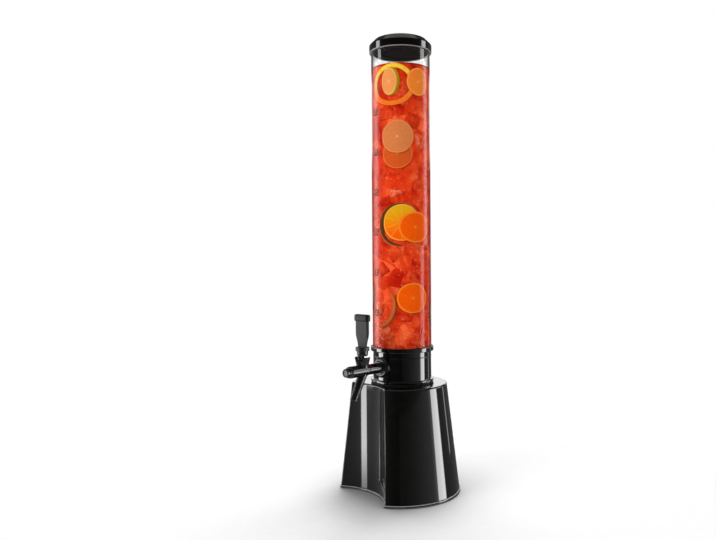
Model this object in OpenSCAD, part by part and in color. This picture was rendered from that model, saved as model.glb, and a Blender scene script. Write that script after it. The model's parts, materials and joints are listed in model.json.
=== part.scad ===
// Drink tower with a clear tube, a lift-off lid, a lever tap and a tapered base.
// Millimetres. Z is up, the origin is on the tower axis at the table, and the tap points along -Y.

/* [Tube] */
// Outside diameter of the clear tube
tube_od = 100; // [94:1:106]
// Wall of the clear tube
tube_wall = 3; // [2.5:0.25:3.5]
// Length of the clear tube
tube_len = 514.5; // [350:0.5:650]

/* [Base] */
// Height of the top of the base above the table
base_h = 182; // [170:1:200]
// Radius of the base wall at its lower edge
base_r_low = 101; // [98:0.5:110]
// Radius of the base wall at its upper edge
base_r_high = 80.5; // [78:0.5:88]
// How far the middle of the base lies towards the glass recess
base_shift = 6.5; // [3:0.5:8]
// Wall of the base shell
base_wall = 3; // [2.5:0.25:4]
// Thickness of the top of the base shell
base_top_t = 3.5; // [3:0.25:5]
// Radius of the glass recess
recess_r = 94; // [88:1:104]
// Width of the base's top between the collar flange and the recess
recess_margin = 5.8; // [4:0.1:8]
// Angle between the tap and the middle of the recess
recess_turn = 10; // [0:1:18]
// Height of the foot band, which is the edge of the base plate
foot_h = 3.3; // [2.5:0.1:5]
// How far the foot band stands out of the base wall
foot_out = 1.5; // [0.75:0.25:2.5]
// Height that the rubber ring lifts the base plate off the table
pad_drop = 1.2; // [0.8:0.1:2]
// Width of the rubber ring under the base plate
pad_w = 4; // [3:0.25:4.25]

/* [Collar] */
// How much smaller the collar is than the tube, on the radius
collar_inset = 0.7; // [0.4:0.1:1.2]
// Wall of the collar
collar_wall = 4; // [3.5:0.25:5]
// Height of the collar between its flange and the tube ring
collar_h = 37; // [35:0.5:45]
// How far the collar flange stands out
flange_out = 4.4; // [3:0.1:5]
// Thickness of the collar flange
flange_t = 4.7; // [3.5:0.1:6]
// Thickness of the gasket under the collar
gasket_t = 2.3; // [1.5:0.1:3]
// Outside radius of the threaded spigot under the collar
spigot_r = 21; // [18:0.5:24]
// Length of the spigot below the top of the base
spigot_len = 22; // [20:0.5:26]
// Thickness of the ring nut
ring_nut_t = 11; // [9:0.5:13]

/* [Tube ring] */
// Height of the skirt of the tube ring
skirt_h = 10; // [9:0.5:12]
// Height of the rim of the tube ring
rim_h = 7.5; // [6.5:0.1:9]
// How far the rim stands out of the tube
rim_out = 3.4; // [2.5:0.1:4.5]

/* [Lid] */
// Height of the upright band of the lid
band_h = 12.5; // [11:0.5:15]
// How far the lid reaches down over the tube
lid_overlap = 10.5; // [9:0.5:13]
// Wall of the lid
lid_wall = 2.8; // [2.2:0.1:3.2]
// Size of the slope around the top of the lid
lid_slope = 10; // [8:0.5:12]

/* [Tap] */
// Height of the tap axis above the collar flange
tap_rise = 22.5; // [20:0.5:24]
// Distance from the tower axis to the lever
lever_u = 94; // [92:0.5:102]
// Radius of the tap barrel behind the lever
barrel_r = 8.5; // [8.3:0.1:9.5]
// Radius of the tap barrel at the lever and in front of it
chest_r = 9.5; // [9.2:0.1:10.5]
// Length of the barrel in front of the lever
barrel_front = 29.5; // [28:0.5:36]
// Radius of the nose at the front of the barrel
nose_r = 7; // [6:0.1:7.6]
// Angle of the spout from upright
spout_angle = 27.5; // [20:0.5:32]
// Length of the spout from the barrel axis
spout_len = 51.3; // [42:0.1:60]
// Radius of the hole through the spout
spout_bore_r = 4; // [3:0.1:4.5]
// Radius of the spout at its open end
spout_end_r = 6.1; // [5.6:0.1:7]
// Radius of the spout at the barrel
spout_root_r = 7.8; // [7.2:0.1:8.6]
// Radius of the round plate between the tap and the collar
rosette_r = 17; // [14.5:0.1:18]

/* [Lever] */
// Radius of the ball that the lever tilts on
ball_r = 6.5; // [6.3:0.05:6.7]
// Height of the ball above the tap axis
ball_rise = 10.5; // [10.2:0.1:11]
// Radius of the stem above the ball
stem_r = 3; // [2.6:0.1:3.1]
// Height of the gap between the bonnet and the handle
handle_gap = 1.8; // [0.5:0.1:2.4]
// Largest tilt of the lever, with the tap fully open
lever_tilt = 30; // [20:1:30]

/* [Handle] */
// Height of the ferrule under the grip
ferrule_h = 14.5; // [13.5:0.5:18]
// Height of the gripping rim at the top of the ferrule
ferrule_rim_h = 6.4; // [4:0.2:7]
// How far the rim stands out of the ferrule
ferrule_rim_out = 2.3; // [1.5:0.1:2.8]
// Radius of the ferrule
ferrule_r = 9; // [8.5:0.1:9.8]
// Height of the grip between the ferrule and the cap
grip_h = 41.4; // [36:0.1:55]
// Width of the grip at the top
grip_w = 27.5; // [22:0.5:30]
// Width of the grip at the bottom
grip_foot_w = 17.5; // [15:0.5:21]
// Thickness of the grip
grip_t = 6.3; // [5.8:0.1:7.5]
// Height of the cap on the grip
cap_h = 11; // [8:0.5:12]
// How far the cap stands out of the grip on each side
cap_out = 2.25; // [1:0.25:3]

/* [Hidden] */
$fn = 96;

// Clearances
slip = 0.4;        // around a piece that lifts off by hand
fit = 0.05;        // between fixed pieces, and around a guided one
run = 0.08;        // around the sliding plunger guide
seat_gap = 0.1;    // between pieces that rest on each other and move apart
over = 1;          // how far a cut runs past a face

// Heights from the table up
tube_rest = 1.5;
cushion_t = 0.5;
plate_z = pad_drop;
shell_z = plate_z + foot_h;
flange_z = base_h + gasket_t;
collar_z = flange_z + flange_t;
seam_z = collar_z + collar_h;
rim_z = seam_z + skirt_h;
tube_z = rim_z + tube_rest;
tube_top = tube_z + tube_len;
lid_z = tube_top - lid_overlap;
lid_top = lid_z + band_h + lid_slope + 1;
plug_z = lid_z + 1.5;
groove_z = plug_z + 3.2;
tap_z = collar_z + tap_rise;

// Radii of the tower
tube_r = tube_od / 2;
tube_in = tube_r - tube_wall;
collar_r = tube_r - collar_inset;
collar_in = collar_r - collar_wall;
neck_step = 1.4;
neck_t = 3;
neck_r = collar_in + neck_step;
neck_in = neck_r - neck_t;
flange_r = collar_r + flange_out;
rim_r = tube_r + rim_out;
lid_r = tube_r + slip + lid_wall;
plug_r = tube_in - slip;

// Glass recess in the base
recess_mid = flange_r + recess_margin + recess_r;
base_dir = [-sin(recess_turn), -cos(recess_turn)];

// Pieces under the base
edge_chamfer = 1.2;
pad_inset = 1.5;
pad_groove = 0.6;
screw_r = 1.5;
screw_head_r = 3.2;
screw_head_t = 2;
screw_len = 15;
boss_r = 5;
boss_h = 26;
boss_web = 3;
screw_ring_r = base_r_low - base_wall - boss_r - 2;
lip_gap = base_wall + 0.6;
lip_h = 4;
boss_angles = [62, 135, 225, 298];
rib_angles = [75, 130, 180, 230, 285];
rib_t = 2.5;
rib_h = 12;
rib_in = spigot_r + 16;

// Tap, with u the distance from the tower axis
boss_out = collar_r + 1.6;
boss_in = collar_in - 4.7;
tap_boss_r = 12;
washer_t = 1.5;
shank_r = 8.2;
rosette_u = boss_out + washer_t;
rosette_plate = 1.8;
shoulder_r = 11;
shoulder_u = rosette_u + rosette_plate;
shoulder_t = 3.2;
nut_t = 6;
nut_u = boss_in - washer_t - nut_t;
shank_u = nut_u - 1.5;
chest_u = lever_u - 8;
nose_u = lever_u + barrel_front;
nose_seal_t = 1;
nose_len = 9;
spout_u = lever_u - 3.4;
spout_land = 30;
spout_relief = 0.8;

// Valve inside the tap
open_travel = ball_rise * sin(lever_tilt);
seat_u = lever_u - 30;
chamber_r = 6.2;
throat_r = 4.4;
main_u = lever_u - 14;
main_r = 6.6;
rod_r = 2.4;
head_t = 4;
seat_washer_t = 2;
block_r = 4.6;
block_half = 7;
tip_r = 2.6;
arm_r = 2.2;
guide_r = 3;
sleeve_u = lever_u + block_half + 6;

// Ball joint, with heights above the tap axis
neck_out_r = 8.5;
cup_r = ball_r + 0.8;
washer_drop = 3.4;
washer_low = ball_rise - washer_drop;
washer_high = ball_rise - 1.6;
arm_hole_r = sqrt(pow(ball_r, 2) - pow(washer_drop, 2)) + 0.15;
neck_top = ball_rise - 0.5;
mouth_lift = 2.9;
grip_low = ball_rise + 1.7;
grip_high = ball_rise + mouth_lift;
mouth_r = sqrt(pow(ball_r, 2) - pow(mouth_lift, 2)) + 0.15;
mouth_h = 2;
mouth_top_r = mouth_r + mouth_h * tan(lever_tilt) + 0.25;
bonnet_low = ball_rise - 5;
bonnet_floor = grip_high + mouth_h;
bonnet_top = ball_rise + 11.5;
bonnet_r_low = neck_out_r + 1.3;
bonnet_r_high = 12.6;
cheek_half = 8.8;

// Handle, with heights from the table
ferrule_z = tap_z + bonnet_top + handle_gap;
grip_z = ferrule_z + ferrule_h;
cap_z = grip_z + grip_h;
insert_r = 4.5;
insert_h = 8;
tang_w = 12;
tang_h = 4.6;
tenon_h = 4.5;
tang_t = grip_t - 1.6;

module ring(r_out, r_in, h) {
    difference() {
        cylinder(h = h, r = r_out);
        translate([0, 0, -over]) cylinder(h = h + 2 * over, r = r_in);
    }
}

module along_tap() {
    translate([0, 0, tap_z]) rotate([90, 0, 0]) children();
}

module at_lever() {
    translate([0, -lever_u, tap_z]) children();
}

// A place on the base, at an angle from the middle of the recess
module around_base(angle, r) {
    translate([base_shift * base_dir[0], base_shift * base_dir[1], 0])
        rotate([0, 0, -90 - recess_turn + angle]) translate([r, 0, 0]) children();
}

// The base in plan, drawn in by d from the outline of the wall's foot
module base_plan(d) {
    difference() {
        translate(base_shift * base_dir) circle(r = base_r_low - d, $fn = 180);
        translate(recess_mid * base_dir) circle(r = recess_r + d, $fn = 180);
    }
}

module recess_cut(r, z, h) {
    translate([recess_mid * base_dir[0], recess_mid * base_dir[1], z])
        cylinder(h = h, r = r, $fn = 180);
}

module base_cone(z, h, d) {
    slope = (base_r_low - base_r_high) / (base_h - shell_z);
    r = base_r_low - d - slope * (z - shell_z);
    translate([base_shift * base_dir[0], base_shift * base_dir[1], z])
        cylinder(h = h, r1 = r, r2 = r - slope * h, $fn = 180);
}

module screw_places() {
    for (a = boss_angles) around_base(a, screw_ring_r) children();
}

module base_shell() color([0.03, 0.03, 0.03]) {
    roof_z = base_h - base_top_t;
    difference() {
        union() {
            difference() {
                union() {
                    base_cone(shell_z, base_h - edge_chamfer - shell_z, 0);
                    translate([base_shift * base_dir[0], base_shift * base_dir[1], base_h - edge_chamfer])
                        cylinder(h = edge_chamfer, r1 = base_r_high, r2 = base_r_high - edge_chamfer, $fn = 180);
                }
                recess_cut(recess_r, shell_z - over, base_h);
                difference() {
                    base_cone(shell_z - over, roof_z - shell_z + over, base_wall);
                    recess_cut(recess_r + base_wall, shell_z - 2 * over, base_h);
                }
            }
            intersection() {
                difference() {
                    base_cone(shell_z, roof_z - shell_z, base_wall / 2);
                    recess_cut(recess_r + base_wall / 2, shell_z - over, base_h);
                }
                union() {
                    screw_places() translate([0, 0, shell_z]) {
                        cylinder(h = boss_h, r = boss_r);
                        translate([0, -boss_web / 2, 0]) cube([boss_r * 3, boss_web, boss_h]);
                    }
                    for (a = rib_angles)
                        rotate([0, 0, -90 - recess_turn + a])
                            translate([rib_in, -rib_t / 2, roof_z - rib_h])
                                cube([base_r_low, rib_t, rib_h + 0.1]);
                }
            }
        }
        translate([0, 0, roof_z - over]) cylinder(h = base_top_t + 2 * over, r = spigot_r + fit);
        screw_places() translate([0, 0, shell_z - over]) cylinder(h = screw_len, r = screw_r + fit);
    }
}

module base_plate() color([0.05, 0.05, 0.05]) {
    difference() {
        union() {
            translate([0, 0, plate_z]) linear_extrude(foot_h) base_plan(-foot_out);
            translate([0, 0, shell_z - 0.1]) linear_extrude(lip_h + 0.1) difference() {
                base_plan(lip_gap);
                base_plan(lip_gap + 2);
            }
        }
        translate([0, 0, plate_z - over]) linear_extrude(pad_groove + over) difference() {
            base_plan(pad_inset - fit);
            base_plan(pad_inset + pad_w + fit);
        }
        screw_places() translate([0, 0, plate_z - over]) {
            cylinder(h = foot_h + 6, r = screw_r + slip);
            cylinder(h = screw_head_t + over, r = screw_head_r + slip);
        }
        screw_places() translate([-boss_r - slip, -boss_r - slip, shell_z])
            cube([3 * boss_r, 2 * (boss_r + slip), lip_h + over]);
    }
}

module anti_slip_ring() color([0.10, 0.10, 0.10]) {
    linear_extrude(pad_drop + pad_groove) difference() {
        base_plan(pad_inset);
        base_plan(pad_inset + pad_w);
    }
}

module base_screws() color([0.70, 0.70, 0.72]) {
    screw_places() translate([0, 0, plate_z + 0.2]) difference() {
        union() {
            cylinder(h = screw_head_t - 0.2, r = screw_head_r);
            cylinder(h = screw_len - 2, r = screw_r);
            translate([0, 0, screw_len - 2]) cylinder(h = 2, r1 = screw_r, r2 = 0.4);
        }
        translate([-0.4, -2, -over]) cube([0.8, 4, over + 0.8]);
        translate([-2, -0.4, -over]) cube([4, 0.8, over + 0.8]);
    }
}

module collar() color([0.03, 0.03, 0.03]) {
    floor_t = 3;
    spigot_wall = 3.5;
    flange_chamfer = 0.8;
    draft = 0.3;
    difference() {
        union() {
            translate([0, 0, flange_z]) cylinder(h = flange_t - flange_chamfer, r = flange_r);
            translate([0, 0, collar_z - flange_chamfer])
                cylinder(h = flange_chamfer, r1 = flange_r, r2 = flange_r - flange_chamfer);
            translate([0, 0, collar_z - over])
                cylinder(h = collar_h + over, r1 = collar_r + draft, r2 = collar_r);
            translate([0, 0, seam_z]) cylinder(h = skirt_h - cushion_t, r = neck_r);
            translate([0, 0, base_h - spigot_len]) cylinder(h = spigot_len + gasket_t + over, r = spigot_r);
            along_tap() translate([0, 0, boss_in]) cylinder(h = boss_out - boss_in, r = tap_boss_r);
        }
        difference() {
            translate([0, 0, collar_z + floor_t]) union() {
                cylinder(h = collar_h - floor_t - over, r = collar_in);
                cylinder(h = collar_h + skirt_h, r = neck_in);
            }
            along_tap() translate([0, 0, boss_in]) cylinder(h = collar_wall + 6, r = tap_boss_r);
        }
        translate([0, 0, base_h - spigot_len - over])
            cylinder(h = spigot_len + gasket_t + flange_t - floor_t + over, r = spigot_r - spigot_wall);
        along_tap() translate([0, 0, boss_in - over])
            cylinder(h = boss_out - boss_in + 2 * over, r = shank_r + fit);
    }
}

module collar_gasket() color([0.08, 0.08, 0.08]) {
    translate([0, 0, base_h]) ring(flange_r - 1.1, spigot_r + fit, gasket_t);
}

module ring_nut() color([0.06, 0.06, 0.06]) {
    grips = 8;
    grip_w = 6;
    grip_out = 3;
    rest_t = 3;
    hub_r = spigot_r + 9;
    translate([0, 0, base_h - base_top_t - ring_nut_t]) difference() {
        union() {
            cylinder(h = ring_nut_t, r = hub_r);
            translate([0, 0, ring_nut_t - rest_t]) cylinder(h = rest_t, r = hub_r + grip_out + 1);
            for (i = [0 : grips - 1])
                rotate([0, 0, i * 360 / grips])
                    translate([hub_r - 1, -grip_w / 2, 0]) cube([grip_out + 1, grip_w, ring_nut_t]);
        }
        translate([0, 0, -over]) cylinder(h = ring_nut_t + 2 * over, r = spigot_r + fit);
    }
}

module tube_ring() color([0.03, 0.03, 0.03]) {
    lip = 0.8;
    bead = 0.5;
    lip_in = tube_in - 2;
    difference() {
        union() {
            translate([0, 0, seam_z]) cylinder(h = skirt_h, r = collar_r);
            translate([0, 0, seam_z]) cylinder(h = 1.2, r = collar_r + bead);
            translate([0, 0, rim_z]) cylinder(h = lip, r1 = rim_r - lip, r2 = rim_r);
            translate([0, 0, rim_z + lip]) cylinder(h = rim_h - 2 * lip, r = rim_r);
            translate([0, 0, rim_z + rim_h - lip]) cylinder(h = lip, r1 = rim_r, r2 = rim_r - lip);
        }
        translate([0, 0, seam_z - over]) cylinder(h = skirt_h + over, r = neck_r + fit);
        translate([0, 0, rim_z - over]) cylinder(h = rim_h + 2 * over, r = neck_in);
        translate([0, 0, tube_z]) ring(tube_r + fit, tube_in - fit, rim_h);
        translate([0, 0, rim_z + rim_h - 1.5]) cylinder(h = 1.5 + over, r = tube_in);
    }
}

module tube_gasket() color([0.75, 0.75, 0.73]) {
    translate([0, 0, rim_z - cushion_t]) ring(neck_r - 0.2, neck_in, cushion_t);
}

module tube() color([0.85, 0.90, 0.92, 0.35]) {
    translate([0, 0, tube_z]) ring(tube_r, tube_in, tube_len);
}

module lid_cap() color([0.03, 0.03, 0.03]) {
    roof = 2;
    slope_z = lid_z + band_h;
    crown_r = lid_r - lid_slope;
    rotate_extrude() polygon([
        [0, lid_top], [crown_r * 0.6, lid_top - 0.2], [crown_r - 1, lid_top - 0.8], [crown_r, slope_z + lid_slope],
        [lid_r - 0.5, slope_z + 0.5], [lid_r, slope_z - 0.5],
        [lid_r, lid_z + 0.8], [lid_r - 0.6, lid_z], [lid_r - lid_wall, lid_z],
        [lid_r - lid_wall, slope_z - 0.6], [crown_r - 1, lid_top - roof - 1], [0, lid_top - roof]]);
}

module lid_plug() color([0.07, 0.07, 0.07]) {
    skin = 2;
    lip_t = 1.6;
    lip_z = tube_top + seat_gap;
    groove_half = 1.2;
    rotate_extrude() polygon([
        [0, plug_z], [plug_r - 1, plug_z], [plug_r, plug_z + 1],
        [plug_r, groove_z - groove_half], [plug_r - groove_half, groove_z - groove_half],
        [plug_r - groove_half, groove_z + groove_half], [plug_r, groove_z + groove_half],
        [plug_r, lip_z], [tube_r, lip_z], [tube_r, lip_z + lip_t], [plug_r - skin - 1, lip_z + lip_t],
        [plug_r - skin - 1, plug_z + skin], [0, plug_z + skin]]);
}

module lid_seal() color([0.55, 0.55, 0.54]) {
    cord_r = 0.55;
    translate([0, 0, groove_z]) rotate_extrude() translate([plug_r - cord_r - 0.1, 0]) circle(r = cord_r, $fn = 24);
}

module tap_body() color([0.03, 0.03, 0.03]) {
    difference() {
        union() {
            along_tap() {
                translate([0, 0, shank_u]) cylinder(h = shoulder_u - shank_u + over, r = shank_r);
                translate([0, 0, shoulder_u]) cylinder(h = shoulder_t - 1, r = shoulder_r);
                translate([0, 0, shoulder_u + shoulder_t - 1]) cylinder(h = 1, r1 = shoulder_r, r2 = shoulder_r - 1);
                translate([0, 0, shoulder_u + shoulder_t - over])
                    cylinder(h = chest_u - shoulder_u - shoulder_t + over, r = barrel_r);
                translate([0, 0, chest_u - 3]) cylinder(h = 3, r1 = barrel_r, r2 = chest_r);
                translate([0, 0, chest_u]) cylinder(h = nose_u - chest_u - 1.2, r = chest_r);
                translate([0, 0, nose_u - 1.2]) cylinder(h = 1.2, r1 = chest_r, r2 = chest_r - 1);
            }
            at_lever() cylinder(h = neck_top, r = neck_out_r);
            translate([0, -spout_u, tap_z]) rotate([180 - spout_angle, 0, 0])
                cylinder(h = spout_len, r1 = spout_root_r, r2 = spout_end_r);
        }
        along_tap() {
            translate([0, 0, shank_u - over]) cylinder(h = seat_u - shank_u + over, r = chamber_r);
            translate([0, 0, seat_u - over]) cylinder(h = main_u - seat_u + 2 * over, r = throat_r);
            translate([0, 0, main_u]) cylinder(h = nose_u - main_u + over, r = main_r);
        }
        at_lever() cylinder(h = neck_top + over, r = arm_hole_r);
        at_lever() translate([0, 0, washer_low]) cylinder(h = neck_top, r = cup_r);
        translate([0, -spout_u, tap_z]) rotate([180 - spout_angle, 0, 0])
            cylinder(h = spout_len + over, r = spout_bore_r);
        translate([0, -spout_u, tap_z]) rotate([180 - spout_angle, 0, 0])
            cylinder(h = spout_len - spout_land, r = spout_bore_r + spout_relief);
    }
}

module tap_rosette() color([0.04, 0.04, 0.04]) {
    difference() {
        along_tap() rotate_extrude() polygon([
            [shank_r + fit, rosette_u], [tap_boss_r + 0.3, rosette_u],
            [tap_boss_r + 0.3, collar_r - 4], [rosette_r, collar_r - 4],
            [rosette_r, shoulder_u - 2.2], [rosette_r - 0.8, shoulder_u - 1.2],
            [rosette_r - 3, shoulder_u + 1.2], [shoulder_r + 0.3, shoulder_u + 1.2],
            [shoulder_r + 0.3, shoulder_u], [shank_r + fit, shoulder_u]]);
        translate([0, 0, collar_z - over]) cylinder(h = collar_h + skirt_h, r = collar_r + 0.5);
    }
}

module outer_washer() color([0.10, 0.10, 0.10]) {
    along_tap() translate([0, 0, boss_out]) ring(tap_boss_r, shank_r + fit, washer_t);
}

module inner_washer() color([0.75, 0.75, 0.73]) {
    along_tap() translate([0, 0, boss_in - washer_t]) ring(tap_boss_r - 0.5, shank_r + fit, washer_t);
}

module tap_nut() color([0.06, 0.06, 0.06]) {
    along_tap() translate([0, 0, nut_u]) difference() {
        cylinder(h = nut_t, r = tap_boss_r + 1, $fn = 6);
        translate([0, 0, -over]) cylinder(h = nut_t + 2 * over, r = shank_r + fit);
    }
}

module nose_cap() color([0.05, 0.05, 0.05]) {
    head_u = nose_u + nose_seal_t;
    along_tap() difference() {
        union() {
            translate([0, 0, sleeve_u]) cylinder(h = head_u - sleeve_u + over, r = main_r - fit);
            translate([0, 0, head_u]) cylinder(h = 1.6, r = chest_r - 1);
            translate([0, 0, head_u]) cylinder(h = nose_len - 2.2, r = nose_r);
            translate([0, 0, head_u + nose_len - 2.2]) cylinder(h = 1.2, r1 = nose_r, r2 = nose_r - 0.9);
        }
        translate([0, 0, sleeve_u - over]) cylinder(h = head_u - sleeve_u + over, r = guide_r + run);
        translate([0, 0, head_u + nose_len - 2]) cylinder(h = 2, r = nose_r - 2.4);
    }
}

module nose_seal() color([0.10, 0.10, 0.10]) {
    along_tap() translate([0, 0, nose_u]) ring(chest_r - 1.3, main_r, nose_seal_t);
}

module bonnet() color([0.03, 0.03, 0.03]) {
    wall_high = bonnet_r_high - 1.7;
    at_lever() difference() {
        union() {
            translate([0, 0, bonnet_low]) cylinder(h = 3, r = bonnet_r_low);
            translate([0, 0, bonnet_low + 3])
                cylinder(h = bonnet_top - bonnet_low - 4, r1 = bonnet_r_low, r2 = bonnet_r_high);
            translate([0, 0, bonnet_top - 1]) cylinder(h = 1, r1 = bonnet_r_high, r2 = bonnet_r_high - 0.4);
        }
        translate([0, 0, bonnet_low - over]) cylinder(h = neck_top - bonnet_low + over + fit, r = neck_out_r + fit);
        translate([0, 0, neck_top]) cylinder(h = grip_high - neck_top, r = neck_out_r - 0.5);
        translate([0, 0, grip_high - 0.01])
            cylinder(h = bonnet_floor - grip_high + 0.02, r1 = mouth_r, r2 = mouth_top_r);
        translate([0, 0, bonnet_floor])
            cylinder(h = bonnet_top - bonnet_floor + 0.01, r1 = bonnet_r_low - 0.4, r2 = wall_high);
        translate([-cheek_half, -bonnet_r_high - over, bonnet_floor + 0.8])
            cube([2 * cheek_half, 2 * bonnet_r_high + 2 * over, bonnet_top]);
        along_tap_cut();
    }
}

// The barrel, cut out of the bonnet that sits astride it
module along_tap_cut() {
    rotate([90, 0, 0]) translate([0, 0, -30]) cylinder(h = 60, r = chest_r + fit);
}

module ball_washer() color([0.80, 0.80, 0.78]) {
    at_lever() difference() {
        translate([0, 0, washer_low]) ring(cup_r - fit, arm_hole_r, washer_high - washer_low);
        translate([0, 0, ball_rise]) sphere(r = ball_r + fit);
    }
}

module friction_washer() color([0.80, 0.80, 0.78]) {
    at_lever() difference() {
        translate([0, 0, grip_low]) ring(neck_out_r - 0.6, ball_r - 1, grip_high - grip_low);
        translate([0, 0, ball_rise]) sphere(r = ball_r + fit);
    }
}

module lever_stem() color([0.72, 0.72, 0.74]) {
    stem_top = ferrule_z - tap_z + 1 + insert_h;
    at_lever() {
        sphere(r = tip_r, $fn = 48);
        cylinder(h = ball_rise, r = arm_r);
        translate([0, 0, ball_rise]) sphere(r = ball_r, $fn = 64);
        translate([0, 0, ball_rise]) cylinder(h = stem_top - ball_rise, r = stem_r);
    }
}

module handle_ferrule() color([0.03, 0.03, 0.03]) {
    flare_h = 2.5;
    flare = 1;
    edge = 0.6;
    rim_low = ferrule_h - ferrule_rim_h;
    full_r = ferrule_r + ferrule_rim_out;
    translate([0, -lever_u, ferrule_z]) difference() {
        union() {
            cylinder(h = flare_h, r1 = ferrule_r - flare, r2 = ferrule_r);
            translate([0, 0, flare_h]) cylinder(h = ferrule_h - flare_h, r = ferrule_r);
            translate([0, 0, rim_low]) cylinder(h = edge, r1 = full_r - edge, r2 = full_r);
            translate([0, 0, rim_low + edge]) cylinder(h = ferrule_rim_h - 2 * edge, r = full_r);
            translate([0, 0, ferrule_h - edge]) cylinder(h = edge, r1 = full_r, r2 = full_r - edge);
        }
        translate([0, 0, -over]) cylinder(h = over + 1 + insert_h, r = insert_r + fit);
        translate([-tang_w / 2 - fit, -tang_t / 2 - fit, ferrule_h - tang_h - fit])
            cube([tang_w + 2 * fit, tang_t + 2 * fit, tang_h + over]);
    }
}

module handle_insert() color([0.78, 0.62, 0.30]) {
    translate([0, -lever_u, ferrule_z + 1]) ring(insert_r, stem_r + fit, insert_h);
}

module slab(w, t, h) {
    for (side = [-1, 1])
        translate([side * (w - t) / 2, 0, 0]) cylinder(h = h, r = t / 2, $fn = 32);
}

module handle_grip() color([0.16, 0.16, 0.16]) {
    waist_h = grip_h / 2;
    translate([0, -lever_u, grip_z]) {
        hull() {
            slab(grip_foot_w, grip_t - 0.8, 0.5);
            translate([0, 0, waist_h]) slab(grip_w, grip_t, 0.5);
        }
        hull() {
            translate([0, 0, waist_h]) slab(grip_w, grip_t, 0.5);
            translate([0, 0, grip_h - 0.5]) slab(grip_w, grip_t, 0.5);
        }
        translate([-tang_w / 2, -tang_t / 2, -tang_h]) cube([tang_w, tang_t, tang_h + 0.5]);
        translate([-tang_w / 2, -tang_t / 2, grip_h - 0.5]) cube([tang_w, tang_t, tenon_h + 0.5]);
    }
}

module handle_cap() color([0.05, 0.05, 0.05]) {
    cap_w = grip_w + 2 * cap_out;
    cap_t = grip_t + cap_out * 1.4;
    translate([0, -lever_u, cap_z]) difference() {
        hull() {
            slab(cap_w - 1.6, cap_t - 1.6, 0.5);
            translate([0, 0, 1.2]) slab(cap_w, cap_t, cap_h - 4);
            translate([0, 0, cap_h - 0.5]) slab(cap_w - 4, cap_t - 3, 0.5);
        }
        translate([-tang_w / 2 - fit, -tang_t / 2 - fit, -over])
            cube([tang_w + 2 * fit, tang_t + 2 * fit, tenon_h + fit + over]);
    }
}

module plunger() color([0.80, 0.80, 0.82]) {
    washer_u = seat_u - seat_gap - seat_washer_t;
    pocket_r = tip_r + 0.3;
    flat_y = 1.6;
    along_tap() difference() {
        union() {
            translate([0, 0, washer_u - head_t]) cylinder(h = head_t, r = throat_r + 0.2);
            translate([0, 0, washer_u - over]) cylinder(h = lever_u - washer_u, r = rod_r);
            translate([0, 0, lever_u - block_half]) cylinder(h = 2 * block_half, r = block_r);
            translate([0, 0, lever_u]) cylinder(h = sleeve_u + open_travel + 4.8 - lever_u, r = guide_r);
        }
        translate([-block_r - over, flat_y, lever_u - block_half + 1.5])
            cube([2 * (block_r + over), block_r + over, 2 * block_half]);
        translate([0, -tip_r - 0.8, lever_u]) rotate([-90, 0, 0]) cylinder(h = 2 * block_r + tip_r, r = pocket_r);
    }
}

module seat_washer() color([0.10, 0.10, 0.10]) {
    along_tap() translate([0, 0, seat_u - seat_gap - seat_washer_t])
        ring(chamber_r - 0.6, rod_r + fit, seat_washer_t);
}

base_shell();
base_plate();
anti_slip_ring();
base_screws();
collar();
collar_gasket();
ring_nut();
tube_ring();
tube_gasket();
tube();
lid_cap();
lid_plug();
lid_seal();
tap_body();
tap_rosette();
outer_washer();
inner_washer();
tap_nut();
nose_cap();
nose_seal();
bonnet();
ball_washer();
friction_washer();
lever_stem();
handle_ferrule();
handle_insert();
handle_grip();
handle_cap();
plunger();
seat_washer();
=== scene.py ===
# %% [markdown]
# # A drink tower, dressed in Blender
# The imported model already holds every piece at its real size. This notebook gives the pieces that
# show a finer skin, a finish and something to drink. Read it from the top: each note says what a
# piece is on the real tower, how it could be made, and why this way was chosen.

# %% Load the frame
import json
import math
import bmesh
import bpy
import numpy as np
from mathutils import Matrix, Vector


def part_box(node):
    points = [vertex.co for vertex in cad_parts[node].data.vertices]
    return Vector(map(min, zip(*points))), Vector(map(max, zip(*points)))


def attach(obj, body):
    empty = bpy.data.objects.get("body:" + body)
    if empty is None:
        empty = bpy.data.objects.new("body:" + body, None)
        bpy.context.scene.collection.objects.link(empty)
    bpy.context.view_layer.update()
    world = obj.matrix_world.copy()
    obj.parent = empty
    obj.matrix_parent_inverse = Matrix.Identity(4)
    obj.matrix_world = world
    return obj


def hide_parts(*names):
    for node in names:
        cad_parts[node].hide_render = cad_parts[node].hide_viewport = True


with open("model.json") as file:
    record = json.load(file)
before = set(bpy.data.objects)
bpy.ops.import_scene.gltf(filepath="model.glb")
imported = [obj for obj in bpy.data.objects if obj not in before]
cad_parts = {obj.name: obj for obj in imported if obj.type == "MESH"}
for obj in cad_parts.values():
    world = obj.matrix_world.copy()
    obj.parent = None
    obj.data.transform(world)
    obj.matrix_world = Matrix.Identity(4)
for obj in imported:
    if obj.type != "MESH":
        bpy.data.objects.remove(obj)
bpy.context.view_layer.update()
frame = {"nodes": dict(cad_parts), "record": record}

MM = 0.001

# %% [markdown]
# ## The camera
# The photograph was taken level, from a little above the tap and turned to the tap's side. A real
# lens keeps upright lines upright when it is shifted instead of tilted, so the framing is done
# with the camera's shift and the camera itself stays level.

# %% Camera
PHOTO_W, PHOTO_H = 716, 540
CAMERA_TURN = math.radians(43.0)      # from the tap's side of the tower towards +X
CAMERA_FAR = 1.223                    # from the tower's axis
CAMERA_HIGH = 0.394
FOCAL_PX = 715.0
AXIS_AT_PX = (401.6, 257.3)           # where the tower's axis and the horizon are in the frame
CAMERA_ROLL = math.radians(0.35)
SENSOR = 36.0

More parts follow.
